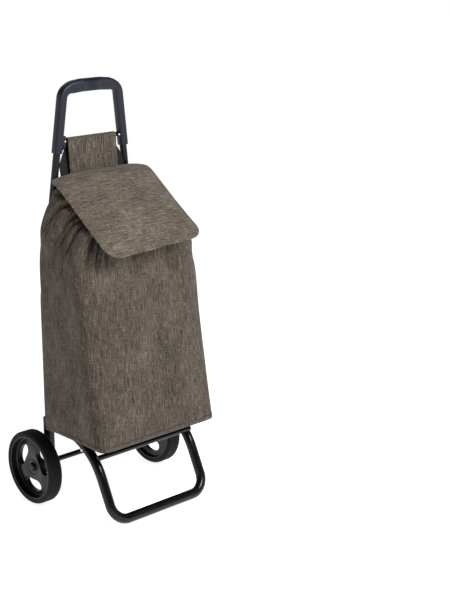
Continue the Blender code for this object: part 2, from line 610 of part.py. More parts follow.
# --- Handle -------------------------------------------------------------------------------------
def build_handle(plastic, steel, zinc):
    apex = Vector((0, upright_point(1, HANDLE_CORNER_Z).y, HANDLE_CORNER_Z + HANDLE_CROWN))
    right = [upright_point(1, HANDLE_BOTTOM_Z), upright_point(1, HANDLE_CORNER_Z)]
    left = [Vector((-point.x, point.y, point.z)) for point in reversed(right)]
    path = rounded_path(right + [apex] + left, [HANDLE_CORNER_R, HANDLE_CROWN_R, HANDLE_CORNER_R],
                        radians(12))
    facing = Vector((0, -1, -LEAN_FORWARD)).normalized()
    rings = []
    for index, point in enumerate(path):
        before = path[max(0, index - 1)]
        after = path[min(len(path) - 1, index + 1)]
        along = (after - before).normalized()
        share = min(1.0, max(0.0, (abs(along.x) - 0.15) / 0.75))
        share = share * share * (3 - 2 * share)
        width = LEG_WIDTH + (GRIP_HEIGHT - LEG_WIDTH) * share
        across = along.cross(facing).normalized()
        rings.append([point + across * u + facing * v
                      for u, v in rounded_rectangle(width, LEG_WIDTH, HANDLE_ROUND)])
    handle = add_object("handle", loft(rings), plastic)

    rod_y = upright_point(1, ROD_Z).y
    rod_half = LUG_TIP + ROD_SEAT
    add_object("loop_rod", rod((-rod_half, rod_y, ROD_Z), (rod_half, rod_y, ROD_Z), ROD_D / 2, ROD_SIDES),
               steel)
    rod_hole = add_cutter("rod_hole", rod(
        (-rod_half - GAP, rod_y, ROD_Z), (rod_half + GAP, rod_y, ROD_Z), ROD_D / 2 + GAP, ROD_SIDES))

    root = upright_point(1, ROD_Z).x - LEG_WIDTH / 2 + LUG_ROOT
    top = ROD_Z + LUG_HEIGHT / 2 - LUG_ROUND
    bottom = top - LUG_HEIGHT
    front = rod_y - LUG_DEPTH / 2
    for name, side in SIDES:
        outline = [(LUG_TIP, bottom + LUG_CHAMFER), (LUG_TIP, top - LUG_ROUND), (LUG_TIP + LUG_ROUND, top),
                   (root, top), (root, bottom), (LUG_TIP + LUG_CHAMFER * 0.6, bottom)]
        lug = add_cutter(f"{name}_lug", slab([(side * x, front, z) for x, z in outline],
                                             (0, LUG_DEPTH, 0)))
        combine(handle, lug, "UNION")
        socket_foot = upright_point(side, HANDLE_BOTTOM_Z)
        axis = (upright_point(side, HANDLE_CORNER_Z) - socket_foot).normalized()
        socket = add_cutter(f"{name}_socket", rod(
            socket_foot - axis * CUT_PAST, socket_foot + axis * (SOCKET_DEPTH + GAP),
            UPRIGHT_D / 2 + GAP, TUBE_SIDES * 2))
        combine(handle, socket, "DIFFERENCE")

        screw_centre = upright_point(side, ROD_Z)
        screw_start = screw_centre + Vector((0, LEG_WIDTH / 2 + GAP, 0))
        add_object(f"{name}_handle_screw", headed_pin(
            screw_start, (0, -1, 0), SCREW_D / 2, SCREW_LENGTH, SCREW_HEAD_D / 2, SCREW_HEAD), zinc)
        screw_hole = add_cutter(f"{name}_screw_hole", rod(
            screw_start + Vector((0, SCREW_HEAD, 0)),
            screw_start - Vector((0, SCREW_LENGTH + GAP, 0)), SCREW_D / 2 + HOLE_GAP))
        combine(handle, screw_hole, "DIFFERENCE")
        combine(bpy.data.objects[f"{name}_upright"], screw_hole, "DIFFERENCE")

        rod_screw_x = side * (LUG_TIP + ROD_SEAT / 2)
        rod_screw_start = Vector((rod_screw_x, front - GAP, ROD_Z))
        rod_screw_length = LUG_DEPTH / 2 - ROD_D / 2
        add_object(f"{name}_rod_screw", headed_pin(
            rod_screw_start, (0, 1, 0), ROD_SCREW_D / 2, rod_screw_length, ROD_SCREW_HEAD_D / 2,
            ROD_SCREW_HEAD), zinc)
        rod_screw_hole = add_cutter(f"{name}_rod_screw_hole", rod(
            rod_screw_start - Vector((0, ROD_SCREW_HEAD, 0)),
            rod_screw_start + Vector((0, rod_screw_length + GAP, 0)), ROD_SCREW_D / 2 + HOLE_GAP))
        combine(handle, rod_screw_hole, "DIFFERENCE")
    combine(handle, rod_hole, "DIFFERENCE")


# --- Bag ----------------------------------------------------------------------------------------
def bag_ring(front, rear, front_z, rear_z, half, squareness, inset):
    """One level of the bag: a soft-cornered ring that may rise from front to rear."""
    middle_y = (front + rear) / 2
    half_depth = (rear - front) / 2 - inset
    points = []
    for k in range(BAG_SIDES):
        angle = 2 * pi * (k + 0.5) / BAG_SIDES
        c, s = cos(angle), sin(angle)
        reach_x = abs(c) ** (2 / squareness) * (1 if c > 0 else -1)
        reach_y = abs(s) ** (2 / squareness) * (1 if s > 0 else -1)
        share = (reach_y + 1) / 2
        points.append(Vector(((half - inset) * reach_x, middle_y + half_depth * reach_y,
                              front_z + (rear_z - front_z) * share)))
    return points


def bag_front_y(z):
    return AXLE_Y - BAG_FRONT + BAG_LEAN * (z - BAG_HEM_Z)


def bag_levels():
    """Levels of the bag from its hem to its gathered neck, without the inset."""
    rear = AXLE_Y - BAG_REAR
    lean_z = (BAG_HEM_Z + SHOULDER_FRONT_Z) / 2
    crest_front = bag_front_y(SHOULDER_FRONT_Z) + CREST_BULGE
    levels = [(bag_front_y(BAG_HEM_Z), rear, BAG_HEM_Z, BAG_HEM_Z, BAG_HALF),
              (bag_front_y(lean_z), rear, lean_z, lean_z, BAG_HALF),
              (bag_front_y(SHOULDER_FRONT_Z), rear, SHOULDER_FRONT_Z, FLAP_REAR_Z - SHOULDER_REAR_DROP,
               SHOULDER_HALF),
              (crest_front, AXLE_Y - CREST_REAR, FLAP_FRONT_Z + CREST_FRONT_RISE,
               FLAP_REAR_Z - CREST_REAR_DROP, CREST_HALF),
              (AXLE_Y - NECK_FRONT, AXLE_Y - NECK_REAR, FLAP_FRONT_Z + NECK_FRONT_RISE,
               FLAP_REAR_Z - NECK_REAR_DROP, NECK_HALF)]
    return [level + (squareness,) for level, squareness in zip(levels, BAG_SQUARENESS)]


def build_bag(cloth, board_mat, zinc):
    levels = bag_levels()
    outer = [bag_ring(*level, 0.0) for level in levels]
    inner = [bag_ring(*level, CLOTH) for level in levels[1:]]
    floor_front = bag_front_y(BAG_FLOOR_Z)
    rear = AXLE_Y - BAG_REAR
    floor_z = BAG_FLOOR_Z + CLOTH
    floor = bag_ring(floor_front, rear, floor_z, floor_z, BAG_HALF, BAG_SQUARENESS[0], CLOTH)
    bag = add_object("bag_body", loft(outer + inner[::-1] + [floor]), cloth)
    skirt_gap = add_cutter("skirt_gap", box(
        (-BAG_HALF + SKIRT_SIDE, floor_front + SKIRT_FRONT, BAG_HEM_Z - CUT_PAST),
        (BAG_HALF - SKIRT_SIDE, AXLE_Y, BAG_FLOOR_Z)))
    combine(bag, skirt_gap, "DIFFERENCE")

    board_front = floor_front + CLOTH + BOARD_MARGIN
    board_rear = rear - CLOTH - BOARD_MARGIN
    board_half = BAG_HALF - CLOTH - BOARD_MARGIN
    board_z = floor_z + GAP
    outline = [(u, (board_front + board_rear) / 2 + v, board_z) for u, v in
               rounded_rectangle(2 * board_half, board_rear - board_front, BOARD_CORNER)]
    add_object("base_board", slab(outline, (0, 0, BOARD_THICKNESS)), board_mat)

    # Eyelets for a drawstring, in the front of the gathered neck.
    lower = Vector((0, levels[3][0], levels[3][2]))
    upper = Vector((0, levels[4][0], levels[4][2]))
    slope = (upper - lower).normalized()
    outwards = slope.cross(Vector((1, 0, 0))).normalized()
    if outwards.y > 0:
        outwards = -outwards
    middle = lower + (upper - lower) * EYELET_SHARE
    barrel_r = EYELET_D / 2
    flange_r = EYELET_FLANGE_D / 2
    flange_top = EYELET_STAND + EYELET_FLANGE
    for name, side in SIDES:
        centre = middle + Vector((side * EYELET_X, 0, 0))
        reach = CLOTH + EYELET_REACH
        add_object(f"{name}_eyelet", turned(
            [(-reach, barrel_r - EYELET_WALL), (-reach, barrel_r), (EYELET_STAND, barrel_r),
             (EYELET_STAND, flange_r), (flange_top, flange_r - EYELET_FLANGE),
             (flange_top, barrel_r - EYELET_WALL)],
            centre, outwards, SMALL_SIDES), zinc)
        combine(bag, add_cutter(f"{name}_eyelet_hole", rod(
            centre - outwards * CUT_PAST, centre + outwards * CUT_PAST, barrel_r + GAP, SMALL_SIDES)),
            "DIFFERENCE")


def build_flap(cloth):
    rear = Vector((0, AXLE_Y - FLAP_REAR, FLAP_REAR_Z))
    front = Vector((0, AXLE_Y - FLAP_FRONT, FLAP_FRONT_Z))
    down = front - rear
    across = Vector((FLAP_HALF, 0, 0))
    corners = [rear, rear + across, front + across, front - across, rear - across, rear]
    points = rounded_path(corners, [FLAP_REAR_CORNER, FLAP_CORNER, FLAP_CORNER, FLAP_REAR_CORNER])
    normal = across.cross(down).normalized()
    if normal.z > 0:
        normal = -normal
    add_object("bag_flap", slab(points[:-1], normal * FLAP_THICKNESS), cloth)


def build_loop(cloth, zinc):
    """Band over the rod: its front end meets the flap's rear edge, its tail hangs behind the bag."""
    rod_y = upright_point(1, ROD_Z).y
    radius = ROD_D / 2 + LOOP_CLEARANCE
    tail_y = AXLE_Y - BAG_REAR + GAP * 2
    front_end = Vector((0, AXLE_Y - FLAP_REAR + LOOP_FRONT_SET, FLAP_REAR_Z + LOOP_FRONT_GAP))
    inner = [front_end]
    to_rod = Vector((0, rod_y, ROD_Z))
    lean = atan((rod_y - front_end.y) / (ROD_Z - front_end.z))
    tail_lean = atan((rod_y + radius - tail_y) / (ROD_Z - LOOP_TAIL_Z - LOOP_TAIL_LENGTH))
    sweep = pi + lean + tail_lean
    count = 12
    for index in range(count + 1):
        angle = pi + lean - sweep * index / count
        inner.append(to_rod + Vector((0, cos(angle), sin(angle))) * radius)
    inner.append(Vector((0, tail_y, LOOP_TAIL_Z + LOOP_TAIL_LENGTH)))
    inner.append(Vector((0, tail_y, LOOP_TAIL_Z)))
    outer = []
    for index, point in enumerate(inner):
        before = inner[max(0, index - 1)]
        after = inner[min(len(inner) - 1, index + 1)]
        along = (after - before).normalized()
        outer.append(point + Vector((0, -along.z, along.y)) * LOOP_THICKNESS)
    outline = [point - Vector((LOOP_HALF, 0, 0)) for point in inner + outer[::-1]]
    loop = add_object("hanger_loop", slab(outline, (2 * LOOP_HALF, 0, 0)), cloth)
    for name, side in SIDES:
        start = Vector((side * STUD_X, tail_y + LOOP_THICKNESS + GAP, LOOP_TAIL_Z + STUD_RISE))
        shank = LOOP_THICKNESS + GAP
        add_object(f"{name}_loop_stud", headed_pin(
            start, (0, -1, 0), STUD_D / 2, shank, STUD_HEAD_D / 2, STUD_HEAD), zinc)
        combine(loop, add_cutter(f"{name}_stud_hole", rod(
            start + Vector((0, STUD_HEAD, 0)), start - Vector((0, shank + CUT_PAST, 0)),
            STUD_D / 2 + HOLE_GAP)), "DIFFERENCE")


def main():
    for obj in list(bpy.data.objects):
        bpy.data.objects.remove(obj, do_unlink=True)
    steel = material("black_powder_coated_steel", (0.012, 0.012, 0.014), 0.3)
    zinc = material("zinc_plated_steel", (0.62, 0.62, 0.60), 0.35, 1.0)
    handle_plastic = material("black_handle_plastic", (0.022, 0.023, 0.030), 0.45)
    fitting_plastic = material("black_fitting_plastic", (0.010, 0.010, 0.011), 0.5)
    tyre_mat = material("black_tyre", (0.013, 0.013, 0.014), 0.6)
    rim_mat = material("black_rim_plastic", (0.012, 0.013, 0.014), 0.4)
    cloth = material("taupe_melange_cloth", (0.120, 0.098, 0.078), 0.9)
    board_mat = material("grey_board", (0.10, 0.10, 0.10), 0.6)
    build_frame(steel, fitting_plastic, zinc)
    for name, side in SIDES:
        build_wheel(name, side, tyre_mat, rim_mat, fitting_plastic, zinc)
    build_handle(handle_plastic, steel, zinc)
    build_bag(cloth, board_mat, zinc)
    build_flap(cloth)
    build_loop(cloth, zinc)


main()
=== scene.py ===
"""Looks of a two-wheeled shopping trolley: the pieces that show, their finishes, and a plain studio.

Metres, +Z up, -Y is the trolley's front, and left is -X.  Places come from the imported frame.
"""

import logging
from contextlib import contextmanager
from dataclasses import dataclass, field
from enum import Enum
from math import acos, atan, cos, pi, radians, sin, sqrt, tan
from typing import Callable, Iterator, Sequence

import bmesh
import bpy
import numpy as np
from mathutils import Matrix, Vector


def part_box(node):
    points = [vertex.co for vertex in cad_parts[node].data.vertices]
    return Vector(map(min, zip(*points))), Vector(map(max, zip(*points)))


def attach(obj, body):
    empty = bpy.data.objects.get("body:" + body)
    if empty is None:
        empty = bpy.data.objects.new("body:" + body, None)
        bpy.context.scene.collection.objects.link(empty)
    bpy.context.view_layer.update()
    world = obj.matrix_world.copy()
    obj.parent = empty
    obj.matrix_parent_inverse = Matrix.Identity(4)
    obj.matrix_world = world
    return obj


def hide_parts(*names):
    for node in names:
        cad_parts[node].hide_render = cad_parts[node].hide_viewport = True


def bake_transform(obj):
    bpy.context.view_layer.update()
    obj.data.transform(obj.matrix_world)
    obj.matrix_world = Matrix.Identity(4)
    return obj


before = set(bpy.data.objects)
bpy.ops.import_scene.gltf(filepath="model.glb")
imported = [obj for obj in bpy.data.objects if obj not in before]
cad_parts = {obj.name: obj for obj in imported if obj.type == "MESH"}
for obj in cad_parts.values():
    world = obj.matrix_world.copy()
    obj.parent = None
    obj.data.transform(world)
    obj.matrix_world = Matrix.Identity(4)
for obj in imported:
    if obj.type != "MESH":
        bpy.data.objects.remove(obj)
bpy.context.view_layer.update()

log = logging.getLogger("trolley")

Place = Sequence[float]
Tree = bpy.types.NodeTree
Object = bpy.types.Object

CHASSIS = "chassis"
MM = 0.001


class Side(Enum):
    """The trolley's two sides, with the sign of X on each."""

    LEFT = -1
    RIGHT = 1

    @property
    def word(self) -> str:
        """The side's name as the nodes have it."""
        return self.name.lower()


class Grain(Enum):
    """Which way the cloth's thick yarns run on a piece."""

    ALONG = "along"
    ACROSS = "across"


# --- Material helpers -----------------------------------------------------------------------------
def linear(hex_colour: str) -> tuple[float, float, float, float]:
    """Turn an sRGB hex colour to linear light.

    Args:
        hex_colour: Six hex digits, with or without a leading #.

    Returns:
        Red, green, blue and alpha, linear.
    """
    digits = hex_colour.lstrip("#")
    channels = [int(digits[k:k + 2], 16) / 255 for k in (0, 2, 4)]
    red, green, blue = [c / 12.92 if c <= 0.04045 else ((c + 0.055) / 1.055) ** 2.4 for c in channels]
    return red, green, blue, 1.0


def add_node(tree: Tree, kind: str, settings: dict | None = None,
             links: dict | None = None) -> bpy.types.Node:
    """Add a node with its settings, its inputs' values and what feeds them.

    Args:
        tree: The node tree that gets the node.
        kind: The node's bl_idname.
        settings: Attributes of the node by name.
        links: For each input's name or index, an output socket or a plain value.

    Returns:
        The new node.
    """
    node = tree.nodes.new(kind)
    for name, value in (settings or {}).items():
        setattr(node, name, value)
    for name, value in (links or {}).items():
        if isinstance(value, bpy.types.NodeSocket):
            tree.links.new(value, node.inputs[name])
        else:
            node.inputs[name].default_value = value
    return node


def new_material(name: str, sockets: dict) -> tuple[bpy.types.Material, Tree, bpy.types.Node]:
    """Make a material with constant values on its Principled shader.

    Args:
        name: The material's name.
        sockets: Values by the name of the shader's socket.

    Returns:
        The material, its node tree and its shader node.
    """
    made = bpy.data.materials.new(name)
    made.use_nodes = True
    tree = made.node_tree
    shader = tree.nodes["Principled BSDF"]
    for socket, value in sockets.items():
        shader.inputs[socket].default_value = value
    return made, tree, shader


def ramp(tree: Tree, factor: bpy.types.NodeSocket, stops: Sequence[tuple[float, Sequence[float]]],
         ) -> bpy.types.NodeSocket:
    """Colour ramp through the given stops.

    Args:
        tree: The node tree.
        factor: What drives the ramp.
        stops: Position and colour of each stop, in order.

    Returns:
        The ramp's colour output.
    """
    node = add_node(tree, "ShaderNodeValToRGB", links={"Fac": factor})
    elements = node.color_ramp.elements
    while len(elements) < len(stops):
        elements.new(1.0)
    for element, (position, colour) in zip(elements, stops):
        element.position = position
        element.color = colour
    return node.outputs["Color"]


def grey(value: float) -> tuple[float, float, float, float]:
    """A ramp colour that stands for one number."""
    return value, value, value, 1.0


# --- Finishes -------------------------------------------------------------------------------------
@dataclass(frozen=True)
class PowderCoat:
    """Gloss black polyester powder, baked on steel tube: deep gloss with a slight orange peel."""

    colour: str = "#08080a"
    roughness: float = 0.22
    peel_mm: float = 3.0

    def material(self) -> bpy.types.Material:
        """Make the material.

        Returns:
            The powder coat, with orange peel and faint handling marks.
        """
        made, tree, shader = new_material("black_powder_coat", {
            "Base Color": linear(self.colour), "Specular IOR Level": 0.28, "Coat Weight": 0.06,
            "Coat Roughness": 0.1})
        place = add_node(tree, "ShaderNodeTexCoord").outputs["Object"]
        peel = add_node(tree, "ShaderNodeTexNoise", links={
            "Vector": place, "Scale": 1 / (self.peel_mm * MM), "Detail": 2.0})
        marks = add_node(tree, "ShaderNodeTexNoise", links={"Vector": place, "Scale": 40.0, "Detail": 6.0})
        tree.links.new(ramp(tree, marks.outputs["Fac"], [
            (0.35, grey(self.roughness - 0.05)), (0.7, grey(self.roughness + 0.1))]),
            shader.inputs["Roughness"])
        bump = add_node(tree, "ShaderNodeBump", links={
            "Height": peel.outputs["Fac"], "Strength": 0.12, "Distance": 0.0003})
        tree.links.new(bump.outputs["Normal"], shader.inputs["Normal"])
        return made


@dataclass(frozen=True)
class ZincPlate:
    """Bright zinc plate on small steel parts: a cool silver, clouded by handling."""

    colour: str = "#c9cac6"
    spangle_mm: float = 2.0

    def material(self) -> bpy.types.Material:
        """Make the material.

        Returns:
            The plate, with its cloudy roughness.
        """
        made, tree, shader = new_material("bright_zinc_plate", {
            "Base Color": linear(self.colour), "Metallic": 1.0})
        place = add_node(tree, "ShaderNodeTexCoord").outputs["Object"]
        cloud = add_node(tree, "ShaderNodeTexNoise", links={
            "Vector": place, "Scale": 1 / (self.spangle_mm * MM), "Detail": 4.0})
        tree.links.new(ramp(tree, cloud.outputs["Fac"], [(0.3, grey(0.22)), (0.75, grey(0.42))]),
                       shader.inputs["Roughness"])
        bump = add_node(tree, "ShaderNodeBump", links={
            "Height": cloud.outputs["Fac"], "Strength": 0.1, "Distance": 0.0002})
        tree.links.new(bump.outputs["Normal"], shader.inputs["Normal"])
        return made


@dataclass(frozen=True)
class MouldedPlastic:
    """Injection moulded plastic with a fine spark-eroded grain, which spreads its highlights."""

    name: str
    colour: str
    roughness: float
    grain_mm: float = 0.7       # about twice the real grain, so that it shows
    grain_depth: float = 0.25

    def material(self) -> bpy.types.Material:
        """Make the material.

        Returns:
            The plastic, with its grain and rubbed patches.
        """
        made, tree, shader = new_material(self.name, {"Specular IOR Level": 0.3})
        place = add_node(tree, "ShaderNodeTexCoord").outputs["Object"]
        grain = add_node(tree, "ShaderNodeTexVoronoi", links={
            "Vector": place, "Scale": 1 / (self.grain_mm * MM)})
        rub = add_node(tree, "ShaderNodeTexNoise", links={"Vector": place, "Scale": 25.0, "Detail": 5.0})
        base = linear(self.colour)
        lighter = tuple(min(1.0, c * 1.25) for c in base[:3]) + (1.0,)
        tree.links.new(ramp(tree, rub.outputs["Fac"], [(0.3, base), (0.75, lighter)]),
                       shader.inputs["Base Color"])
        tree.links.new(ramp(tree, rub.outputs["Fac"], [
            (0.3, grey(self.roughness)), (0.7, grey(self.roughness + 0.08))]), shader.inputs["Roughness"])
        bump = add_node(tree, "ShaderNodeBump", links={
            "Height": grain.outputs["Distance"], "Strength": self.grain_depth, "Distance": 0.0001})
        tree.links.new(bump.outputs["Normal"], shader.inputs["Normal"])
        return made


@dataclass(frozen=True)
class FoamTyre:
    """Moulded EVA foam tyre: matt charcoal skin with fine pores and floor dust on the tread."""

    colour: str = "#0d0e0f"
    dust: str = "#161716"
    pore_mm: float = 1.2

    def material(self) -> bpy.types.Material:
        """Make the material.

        Returns:
            The foam skin.
        """
        made, tree, shader = new_material("moulded_eva_foam", {"Specular IOR Level": 0.16})
        place = add_node(tree, "ShaderNodeTexCoord").outputs["Object"]
        pores = add_node(tree, "ShaderNodeTexNoise", links={
            "Vector": place, "Scale": 1 / (self.pore_mm * MM), "Detail": 3.0})
        wear = add_node(tree, "ShaderNodeTexNoise", links={"Vector": place, "Scale": 30.0, "Detail": 6.0})
        tree.links.new(ramp(tree, wear.outputs["Fac"], [
            (0.4, linear(self.colour)), (0.8, linear(self.dust))]), shader.inputs["Base Color"])
        tree.links.new(ramp(tree, wear.outputs["Fac"], [(0.3, grey(0.58)), (0.8, grey(0.75))]),
                       shader.inputs["Roughness"])
        bump = add_node(tree, "ShaderNodeBump", links={
            "Height": pores.outputs["Fac"], "Strength": 0.25, "Distance": 0.0003})
        tree.links.new(bump.outputs["Normal"], shader.inputs["Normal"])
        return made


@dataclass(frozen=True)
class MelangeCloth:
    """Polyester woven to look like linen: dark warp, and pale slubs that show as broken streaks."""

    grain: Grain
    dark: str = "#28231d"
    middle: str = "#403931"
    pale: str = "#595047"
    slub: str = "#786e62"
    yarn_mm: float = 0.9        # half as wide again as the real yarn, so that it shows
    slub_mm: float = 1.3
    slub_length_mm: float = 38.0

    def streaks(self, tree: Tree, width_mm: float, length_mm: float, detail: float,
                ) -> bpy.types.NodeSocket:
        """Noise drawn out along the yarn.

        Args:
            tree: The node tree.
            width_mm: Width of one streak.
            length_mm: Length of one streak.
            detail: How much finer noise is added.

        Returns:
            The noise's factor.
        """
        across, along = 1 / (width_mm * MM), 1 / (length_mm * MM)
        scale = (across, along, 1.0) if self.grain is Grain.ALONG else (along, across, 1.0)
        uv = add_node(tree, "ShaderNodeUVMap", {"uv_map": "cloth"})
        place = add_node(tree, "ShaderNodeMapping", links={"Vector": uv.outputs["UV"], "Scale": scale})
        noise = add_node(tree, "ShaderNodeTexNoise", {"noise_dimensions": "2D"}, {
            "Vector": place.outputs["Vector"], "Scale": 1.0, "Detail": detail, "Roughness": 0.6})
        return noise.outputs["Fac"]

    def material(self) -> bpy.types.Material:
        """Make the material.

        Returns:
            The cloth, with streaks, crossing threads, uneven dye and a weave that stands out.
        """
        made, tree, shader = new_material(f"melange_polyester_{self.grain.value}", {
            "IOR": 1.45, "Roughness": 0.88, "Sheen Weight": 0.12, "Sheen Roughness": 0.5,
            "Specular IOR Level": 0.25})
        slubs = self.streaks(tree, self.slub_mm, self.slub_length_mm, 1.5)
        yarns = self.streaks(tree, self.yarn_mm, self.yarn_mm * 14, 2.0)
        cross = self.streaks(tree, self.slub_length_mm * 0.5, self.yarn_mm * 1.2, 1.0)
        patches = self.streaks(tree, 60.0, 110.0, 3.0)
        terms = [(slubs, 0.9), (yarns, 0.8), (cross, 0.5), (patches, 0.3)]
        total = None
        for source, weight in terms:
            part = add_node(tree, "ShaderNodeMath", {"operation": "MULTIPLY_ADD"},
                            {0: source, 1: weight, 2: total if total else 0.0})
            total = part.outputs[0]
        share = add_node(tree, "ShaderNodeMath", {"operation": "DIVIDE"},
                         {0: total, 1: sum(weight for _, weight in terms)}).outputs[0]
        colour = ramp(tree, share, [
            (0.39, linear(self.dark)), (0.47, linear(self.middle)),
            (0.54, linear(self.pale)), (0.62, linear(self.slub))])
        tree.links.new(colour, shader.inputs["Base Color"])
        height = add_node(tree, "ShaderNodeMath", {"operation": "MULTIPLY_ADD"},
                          {0: yarns, 1: 0.7, 2: share})
        bump = add_node(tree, "ShaderNodeBump", links={
            "Height": height.outputs[0], "Strength": 0.5, "Distance": 0.0007})
        tree.links.new(bump.outputs["Normal"], shader.inputs["Normal"])
        return made


@dataclass(frozen=True)
class CoatedInside:
    """Black polyurethane coating on the back of the cloth: dull, with the weave showing through."""

    colour: str = "#0e0e10"
    weave_mm: float = 1.3

    def material(self) -> bpy.types.Material:
        """Make the material.

        Returns:
            The coating.
        """
        made, tree, shader = new_material("black_pu_coating", {"Specular IOR Level": 0.2})
        uv = add_node(tree, "ShaderNodeUVMap", {"uv_map": "cloth"}).outputs["UV"]
        weave = add_node(tree, "ShaderNodeTexWave", {"bands_direction": "DIAGONAL"}, {
            "Vector": uv, "Scale": 0.3 / (self.weave_mm * MM), "Distortion": 1.0})
        cloud = add_node(tree, "ShaderNodeTexNoise", links={"Vector": uv, "Scale": 30.0, "Detail": 4.0})
        base = linear(self.colour)
        paler = tuple(c * 1.8 for c in base[:3]) + (1.0,)
        tree.links.new(ramp(tree, cloud.outputs["Fac"], [(0.35, base), (0.75, paler)]),
                       shader.inputs["Base Color"])
        tree.links.new(ramp(tree, cloud.outputs["Fac"], [(0.3, grey(0.5)), (0.7, grey(0.68))]),
                       shader.inputs["Roughness"])
        bump = add_node(tree, "ShaderNodeBump", links={
            "Height": weave.outputs["Fac"], "Strength": 0.2, "Distance": 0.0003})
        tree.links.new(bump.outputs["Normal"], shader.inputs["Normal"])
        return made


@dataclass(frozen=True)
class SpunThread:
    """Twisted polyester sewing thread, a shade darker than the cloth."""

    colour: str = "#544b42"
    ply_mm: float = 0.6

    def material(self) -> bpy.types.Material:
        """Make the material.

        Returns:
            The thread, with the ribs of its ply.
        """
        made, tree, shader = new_material("spun_polyester_thread", {
            "Roughness": 0.7, "Sheen Weight": 0.1})
        place = add_node(tree, "ShaderNodeTexCoord").outputs["Object"]
        ply = add_node(tree, "ShaderNodeTexNoise", links={"Vector": place, "Scale": 1 / (self.ply_mm * MM)})
        base = linear(self.colour)
        paler = tuple(c * 1.4 for c in base[:3]) + (1.0,)
        tree.links.new(ramp(tree, ply.outputs["Fac"], [(0.4, base), (0.7, paler)]),
                       shader.inputs["Base Color"])
        return made


@dataclass(frozen=True)
class Fibreboard:
    """Grey pressed fibreboard: matt, with pale and dark fibres."""

    colour: str = "#57585a"
    fibre_mm: float = 1.5

    def material(self) -> bpy.types.Material:
        """Make the material.

        Returns:
            The board.
        """
        made, tree, shader = new_material("pressed_fibreboard", {"Roughness": 0.8})
        place = add_node(tree, "ShaderNodeTexCoord").outputs["Object"]
        stretched = add_node(tree, "ShaderNodeMapping", links={"Vector": place, "Scale": (1.0, 3.0, 1.0)})
        fibre = add_node(tree, "ShaderNodeTexNoise", links={
            "Vector": stretched.outputs["Vector"], "Scale": 1 / (self.fibre_mm * MM), "Detail": 4.0})
        base = linear(self.colour)
        dark = tuple(c * 0.6 for c in base[:3]) + (1.0,)
        tree.links.new(ramp(tree, fibre.outputs["Fac"], [(0.35, dark), (0.65, base)]),
                       shader.inputs["Base Color"])
        bump = add_node(tree, "ShaderNodeBump", links={
            "Height": fibre.outputs["Fac"], "Strength": 0.3, "Distance": 0.0003})
        tree.links.new(bump.outputs["Normal"], shader.inputs["Normal"])
        return made


@dataclass
class Finishes:
    """One material of each finish, made once."""

    coat: bpy.types.Material = field(default_factory=lambda: PowderCoat().material())
    zinc: bpy.types.Material = field(default_factory=lambda: ZincPlate().material())
    grip: bpy.types.Material = field(default_factory=lambda: MouldedPlastic(
        "moulded_abs_grip", "#171a26", 0.34).material())
    rim: bpy.types.Material = field(default_factory=lambda: MouldedPlastic(
        "moulded_polypropylene_rim", "#0b0c0d", 0.3).material())
    fitting: bpy.types.Material = field(default_factory=lambda: MouldedPlastic(
        "moulded_polyamide_fitting", "#0b0b0c", 0.42).material())
    tyre: bpy.types.Material = field(default_factory=lambda: FoamTyre().material())
    cloth: bpy.types.Material = field(default_factory=lambda: MelangeCloth(Grain.ALONG).material())
    # The flap's cloth is the body's cloth with paler colours: painted light, for the top light that falls on
    # the flap.
    cross_cloth_painted_lit: bpy.types.Material = field(default_factory=lambda: MelangeCloth(
        Grain.ACROSS, "#38312a", "#554c43", "#71675b", "#908679").material())
    coating: bpy.types.Material = field(default_factory=lambda: CoatedInside().material())
    thread: bpy.types.Material = field(default_factory=lambda: SpunThread().material())
    board: bpy.types.Material = field(default_factory=lambda: Fibreboard().material())


# --- Modelling helpers ------------------------------------------------------------------------------
def select_only(obj: Object) -> None:
    """Deselect everything, then select the object and make it active."""
    bpy.ops.object.select_all(action="DESELECT")
    obj.select_set(True)
    bpy.context.view_layer.objects.active = obj


@contextmanager
def editing(obj: Object) -> Iterator[None]:
    """Edit mode on one object, with nothing selected at first.

    Args:
        obj: The mesh object.

    Yields:
        Nothing: the operators act on the object's mesh.
    """
    select_only(obj)
    bpy.ops.object.mode_set(mode="EDIT")
    bpy.ops.mesh.select_mode(type="VERT")
    bpy.ops.mesh.select_all(action="DESELECT")
    yield
    bpy.ops.object.mode_set(mode="OBJECT")


def pick(obj: Object, test: Callable[[Vector], bool]) -> None:
    """Select, in edit mode, the vertices whose place passes the test."""
    bm = bmesh.from_edit_mesh(obj.data)
    for vert in bm.verts:
        vert.select_set(test(vert.co))
    bm.select_flush(True)
    bmesh.update_edit_mesh(obj.data)


def named(name: str) -> Object:
    """Name the active object and its mesh, and return it."""
    obj = bpy.context.view_layer.objects.active
    obj.name = name
    obj.data.name = name
    return obj


def settle(obj: Object) -> None:
    """Apply the object's place, turn and scale to its mesh."""
    select_only(obj)
    bpy.ops.object.transform_apply(location=True, rotation=True, scale=True)


def modify(obj: Object, kind: str, **settings: object) -> None:
    """Add a modifier and apply it.

    Args:
        obj: The mesh object.
        kind: The modifier's type.
        **settings: The modifier's attributes.
    """
    select_only(obj)
    modifier = obj.modifiers.new(kind.lower(), kind)
    for name, value in settings.items():
        setattr(modifier, name, value)
    bpy.ops.object.modifier_apply(modifier=modifier.name)


def join_solids(obj: Object, other: Object, operation: str) -> None:
    """Boolean of two solids, after which the second is removed."""
    modify(obj, "BOOLEAN", operation=operation, solver="EXACT", object=other)
    bpy.data.objects.remove(other)


def tidy(obj: Object, smooth_angle: float = 35.0) -> Object:
    """Merge doubles, turn the faces outwards and shade smooth up to an angle.

    Args:
        obj: The mesh object.
        smooth_angle: Edges sharper than this many degrees stay sharp.

    Returns:
        The same object.
    """
    with editing(obj):
        bpy.ops.mesh.select_all(action="SELECT")
        bpy.ops.mesh.remove_doubles(threshold=1e-5)
        bpy.ops.mesh.normals_make_consistent(inside=False)
    select_only(obj)
    bpy.ops.object.shade_smooth_by_angle(angle=radians(smooth_angle))
    return obj


